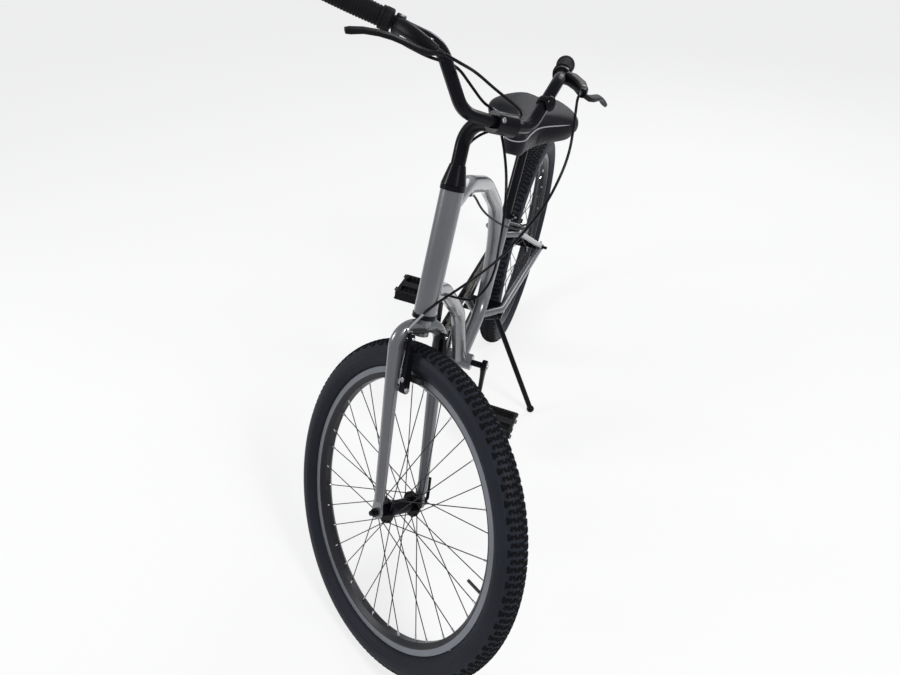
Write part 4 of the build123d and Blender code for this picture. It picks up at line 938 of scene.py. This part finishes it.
# %% Saddle form
SADDLE_BACK = 120.0
SADDLE_NOSE = 410.0
SADDLE_LENGTH = SADDLE_NOSE - SADDLE_BACK
SADDLE_HALF = 124.0
NOSE_HALF = 29.0
SADDLE_MIDDLE = 816.0
TOP_RISE = 38.0
SIDE_DROP = 48.0
HOLLOW = 32.0
WING_DROP = 12.0


def length_share(unit):
    """Share of the saddle's length, from the tail, at a place between -1 and 1."""
    return (1 + max(-1.0, min(1.0, unit))) / 2


def saddle_half_width(share):
    """Half the saddle's width at a share of its length from the tail."""
    if share < 0.24:
        return SADDLE_HALF * math.sqrt(max(0.0, 1 - ((0.24 - share) / 0.24) ** 2)) ** 0.9
    if share < 0.66:
        ease = (1 - math.cos(math.pi * (share - 0.24) / 0.42)) / 2
        return SADDLE_HALF + (NOSE_HALF * 1.35 - SADDLE_HALF) * ease
    if share < 0.9:
        return NOSE_HALF * (1.35 - 0.35 * math.sin(math.pi / 2 * (share - 0.66) / 0.24))
    return NOSE_HALF * math.sqrt(max(0.0, 1 - ((share - 0.9) / 0.1) ** 2))


def saddle_form():
    bm = bmesh.new()
    bmesh.ops.create_uvsphere(bm, u_segments=72, v_segments=56, radius=1.0)
    bmesh.ops.rotate(bm, verts=bm.verts, cent=(0, 0, 0), matrix=Matrix.Rotation(math.radians(90), 3, "Y"))
    for vert in bm.verts:
        ring = math.hypot(vert.co.y, vert.co.z)
        across = squared(vert.co.y / ring, 0.62) if ring > 1e-6 else 0.0
        rise = squared(vert.co.z / ring, 0.5) if ring > 1e-6 else 0.0
        share = length_share(vert.co.x)
        end = min(1.0, ring * 1.9) ** 0.6
        half = saddle_half_width(share)
        width_share = abs(across)
        drop = SIDE_DROP - 10 * max(0.0, share - 0.45) + WING_DROP * max(0.0, 1 - 2 * share)
        height = TOP_RISE if rise > 0 else drop
        lobe = 5.0 * math.sin(math.pi * min(1.0, width_share)) * max(0.0, 1 - share * 1.6)
        lift = rise * height * end - 8.0 * width_share ** 2 * (rise > 0)
        if rise > 0:
            lift += lobe * rise - 5.0 * math.sin(math.pi * share) * rise
        elif ring > 0.3 and width_share < 0.8:
            nose_close = min(1.0, 3 * (1 - share))
            lift += HOLLOW * (1 - (width_share / 0.8) ** 2) * min(1.0, -rise) * end * nose_close
        tuck = 1 - 0.07 * (rise < -0.3)
        vert.co = Vector((SADDLE_BACK + share * SADDLE_LENGTH, across * half * tuck, SADDLE_MIDDLE + lift))
    bmesh.ops.remove_doubles(bm, verts=bm.verts, dist=0.2)
    for _ in range(3):
        bmesh.ops.smooth_vert(bm, verts=bm.verts, factor=0.5, use_axis_x=True, use_axis_y=True,
                              use_axis_z=True)
    return bm


SWELL_CAP = 0.004
SKIN_VOXEL = 0.005
AIR_PRESSURE = 4.0
CLOTH_STEPS = 20


def swell(piece):
    """Remeshes a closed skin and inflates it a little with the cloth solver."""
    remesh = piece.modifiers.new("remesh", "REMESH")
    remesh.mode = "VOXEL"
    remesh.voxel_size = SKIN_VOXEL
    mesh = final_mesh(piece)
    piece.modifiers.clear()
    piece.data = mesh
    before = [vert.co.copy() for vert in mesh.vertices]
    cloth = piece.modifiers.new("cloth", "CLOTH")
    cloth.settings.use_pressure = True
    cloth.settings.uniform_pressure_force = AIR_PRESSURE
    cloth.settings.effector_weights.gravity = 0.0
    for step in range(1, CLOTH_STEPS + 1):
        scene.frame_set(step)
    swollen = final_mesh(piece)
    piece.modifiers.clear()
    scene.frame_set(1)
    for vert, start in zip(swollen.vertices, before):
        move = vert.co - start
        if move.length > SWELL_CAP:
            vert.co = start + move.normalized() * SWELL_CAP
    piece.data = swollen


def refine(piece):
    """Applies one round of subdivision to a piece."""
    smooth = piece.modifiers.new("smooth", "SUBSURF")
    smooth.levels = 1
    mesh = final_mesh(piece)
    piece.modifiers.clear()
    piece.data = mesh


saddle = piece_from(saddle_form(), "saddle_cover", BIKE, saddle_vinyl, "frame",
                    ["saddle_pad"])
swell(saddle)
refine(saddle)
saddle.data.materials.clear()
saddle.data.materials.append(saddle_vinyl)
saddle.data.shade_smooth()
print("saddle faces", len(saddle.data.polygons))

# %% Piping round the saddle
PIPING_SPOTS = 64
PIPING_R = 1.5
PIPING_RISE = 13
RAY_START = 260


def piping_points():
    """Points on the saddle's side, found by casting rays inwards at the height of the seam."""
    skin = BVHTree.FromObject(saddle, bpy.context.evaluated_depsgraph_get())
    inward = BIKE.to_3x3().normalized()
    points = []
    for index in range(PIPING_SPOTS):
        turn = math.tau * index / PIPING_SPOTS
        share = (1 - math.cos(turn)) / 2
        height = SADDLE_MIDDLE + PIPING_RISE - 3 * share
        aim = Vector((-math.cos(turn), math.sin(turn), 0))
        middle = SADDLE_BACK + SADDLE_LENGTH * share
        inside = Vector((min(max(middle, SADDLE_BACK + 40), SADDLE_NOSE - 20), 0, height))
        outside = inside + aim * RAY_START
        hit = skin.ray_cast(BIKE @ outside, (inward @ -aim).normalized())[0]
        if hit is not None:
            points.append(hit)
    return points


link_piece(cable("saddle_piping", piping_points(), PIPING_R, closed=True), "saddle_piping", piping_cord,
           "frame")

# %% Saddle base
BASE_INSET = 0.86
BASE_Z = 797.0
BASE_THICKNESS = 5
base = bmesh.new()
for vert in bmesh.ops.create_circle(base, cap_ends=True, radius=1.0, segments=96)["verts"]:
    share = length_share(vert.co.x)
    half = saddle_half_width(0.04 + share * 0.92) * BASE_INSET
    vert.co.y = math.copysign(half, vert.co.y) * min(1.0, 6 * (1 - abs(vert.co.x)))
    vert.co.x = SADDLE_BACK + 16 + share * SADDLE_LENGTH * 0.9
    vert.co.z = BASE_Z
sheet = bmesh.ops.extrude_face_region(base, geom=list(base.faces))["geom"]
top = [item for item in sheet if isinstance(item, bmesh.types.BMVert)]
bmesh.ops.translate(base, vec=(0, 0, BASE_THICKNESS), verts=top)
piece_from(base, "saddle_base_plate", BIKE, moulded_black, "frame", ["saddle_base"])

# %% [markdown]
# ## Brake details and small fasteners
# Each brake arm is held by a pivot screw and its pad by a nut, and a thin spring lies along it. The
# other fasteners are on the stem clamp, the cranks and the chainring.

# %% Brake fasteners and springs
SPRING_R = 0.8
POST_Y, POST_Z = 44.0, 256.0
ANCHOR_Y, ANCHOR_Z = 39.5, 354.0
PAD_NUT_Y = 47.4
PAD_NUT_Z = {31: 275.3, 20: 276.3}
for name, place, offset, body in (("front", FRONT_BRAKE, 31, "fork"), ("rear", REAR_BRAKE, 20, "frame")):
    face = offset + 6
    pivots = [((face, side * POST_Y, POST_Z), (1, 0, 0)) for side in (1, -1)]
    anchors = [((face, side * ANCHOR_Y, ANCHOR_Z), (1, 0, 0)) for side in (1, -1)]
    screw_set(f"{name}_brake_pivots", place, pivots, socket_screw(5.4, 4), body)
    screw_set(f"{name}_brake_anchors", place, anchors, socket_screw(3.2, 3), body, chrome)
    nuts = [((offset, side * PAD_NUT_Y, PAD_NUT_Z[offset]), (0, side, 0)) for side in (1, -1)]
    screw_set(f"{name}_pad_nuts", place, nuts, hex_nut(5.4, 4.4), body)
    springs = bmesh.new()
    for side in (1, -1):
        route = [(offset - 7.4, side * 48, 250), (offset - 7.6, side * 51.5, 268),
                 (offset - 7.6, side * 50, 300), (offset - 7.4, side * 44, 330)]
        wire = cable(f"{name}_spring", placed(place, route), SPRING_R)
        springs.from_mesh(wire)
        bpy.data.meshes.remove(wire)
    piece_from(springs, f"{name}_brake_springs", Matrix.Identity(4), chrome, body)

# %% Screws of the stem, cranks and chainring
CRANK_FACE = 74.6
RING_ARMS = 5
RING_BOLT_R = 62
RING_BOLT_Y = -48
stem_spots = [((105.2, -17, 770), (0.9, 0, 0.36))]
screw_set("stem_screws", STEER, stem_spots, socket_screw(4.6, 3.4), "fork")
crank_place = BIKE @ Matrix.Translation(BRACKET)
crank_spots = [((0, side * CRANK_FACE, 0), (0, side, 0)) for side in (1, -1)]
screw_set("crank_screws", crank_place, crank_spots, socket_screw(7.5, 4), "crankset")
ring_spots = []
for arm in range(RING_ARMS):
    turn = math.tau * arm / RING_ARMS
    spot = (RING_BOLT_R * math.cos(turn), RING_BOLT_Y, RING_BOLT_R * math.sin(turn))
    ring_spots.append((spot, (0, -1, 0)))
screw_set("chainring_screws", crank_place, ring_spots, socket_screw(4.2, 2.4), "crankset")

# %% [markdown]
# ## Crank arms and pedal ridges
# The CAD cranks are flat plates. A loft tapers each arm between the drums at its two ends, and the right
# one is the left one turned half round. Rows of low ridges lie on both faces of each pedal. They are
# longer than the pedal's rail is wide, so they reach over its open windows.

# %% Crank arms and pedal ridges
ARM_SHAPE = ((0.0, 16.0, 7.0), (0.08, 15.4, 7.2), (0.2, 12.0, 6.2), (0.55, 9.6, 5.4), (0.85, 10.2, 5.6),
             (0.95, 12.0, 6.4), (1.0, 12.4, 6.4))
CRANK_LENGTH = 170.0
ARM_MIDDLE = 68.5
DRUM_HALF = 6.6
RIDGE = (3.2, 15.0, 2.4)
RIDGE_AHEAD = 31.5
RIDGE_START = 91
RIDGE_STEP = 11
RIDGE_FACE = 12.6


def crank_arm(side):
    """Forged arm that points down, in axes whose origin is the bottom bracket."""
    stations = [((0, side * ARM_MIDDLE, -share * CRANK_LENGTH), wide, thick)
                for share, wide, thick in ARM_SHAPE]
    bm = loft(stations, Vector((0, 1, 0)), 24, 0.75)
    for depth, radius in ((0, 16.0), (-CRANK_LENGTH, 12.4)):
        join(bm, band(2, radius, DRUM_HALF, 1, 1.2, 36), facing((0, side * ARM_MIDDLE, depth), (0, 1, 0)))
    return bm


for side, name in SIDES:
    down = crank_place @ Matrix.Rotation(0 if side > 0 else math.pi, 4, "Y")
    piece_from(crank_arm(side), f"crank_arm_{name}", down, black_paint, "crankset",
               [f"crank_{name}"])
    ridges = bmesh.new()
    ridge = tread_block(*RIDGE)
    for row in (-1, 1):
        for step in range(9):
            for face in (1, -1):
                spot = Matrix.Translation((row * RIDGE_AHEAD, side * (RIDGE_START + step * RIDGE_STEP),
                                           face * RIDGE_FACE - CRANK_LENGTH))
                stamp(ridges, ridge, spot @ Matrix.Rotation(0 if face > 0 else math.pi, 4, "X"))
    ridge.free()
    piece_from(ridges, f"pedal_ridges_{name}", down, grip_rubber, f"pedal_{name}")

# %% [markdown]
# ## Chain pins
# The chain runs straight between the sprocket and the chainring and bends round both. One small pin end
# is stamped on each side of every link, at equal steps along that loop.

# %% Chain pins
CHAIN_PITCH = 12.7
RING_TEETH = 42
SPROCKET_TEETH = 18
CHAIN_Y = -46.0
PIN_FACE = 3.4


def pitch_radius(teeth):
    return CHAIN_PITCH / 2 / math.sin(math.pi / teeth)


def chain_places():
    """Centre of every chain pin round the loop, in X and Z of the bicycle."""
    hub = Vector((0, TYRE_R))
    bracket = Vector((BRACKET.x, BRACKET.z))
    small, large = pitch_radius(SPROCKET_TEETH), pitch_radius(RING_TEETH)
    span = bracket - hub
    base_angle = math.atan2(span.y, span.x)
    spread_angle = math.acos((small - large) / span.length)
    run = math.sqrt(span.length ** 2 - (large - small) ** 2)
    top, low = base_angle + spread_angle, base_angle - spread_angle
    ring_arc = (top - low) * large
    hub_arc = (math.tau - (top - low)) * small
    total = 2 * run + ring_arc + hub_arc
    links = 2 * round(total / CHAIN_PITCH / 2)

    def on(centre, radius, angle):
        return centre + Vector((math.cos(angle), math.sin(angle))) * radius

    for index in range(links):
        way = total * index / links
        if way < run:
            yield on(hub, small, top).lerp(on(bracket, large, top), way / run)
        elif way < run + ring_arc:
            yield on(bracket, large, top - (way - run) / large)
        elif way < 2 * run + ring_arc:
            yield on(bracket, large, low).lerp(on(hub, small, low), (way - run - ring_arc) / run)
        else:
            yield on(hub, small, low - (way - 2 * run - ring_arc) / small)


pin = lathe(((1.1, 0), (1.9, 0.2), (1.9, 0.8), (1.4, 1.2)), 8)
pins = bmesh.new()
for centre in chain_places():
    for side in (1, -1):
        stamp(pins, pin, facing((centre.x, CHAIN_Y + side * PIN_FACE, centre.y), (0, side, 0)))
pin.free()
piece_from(pins, "chain_pins", BIKE, satin_alloy, "frame")
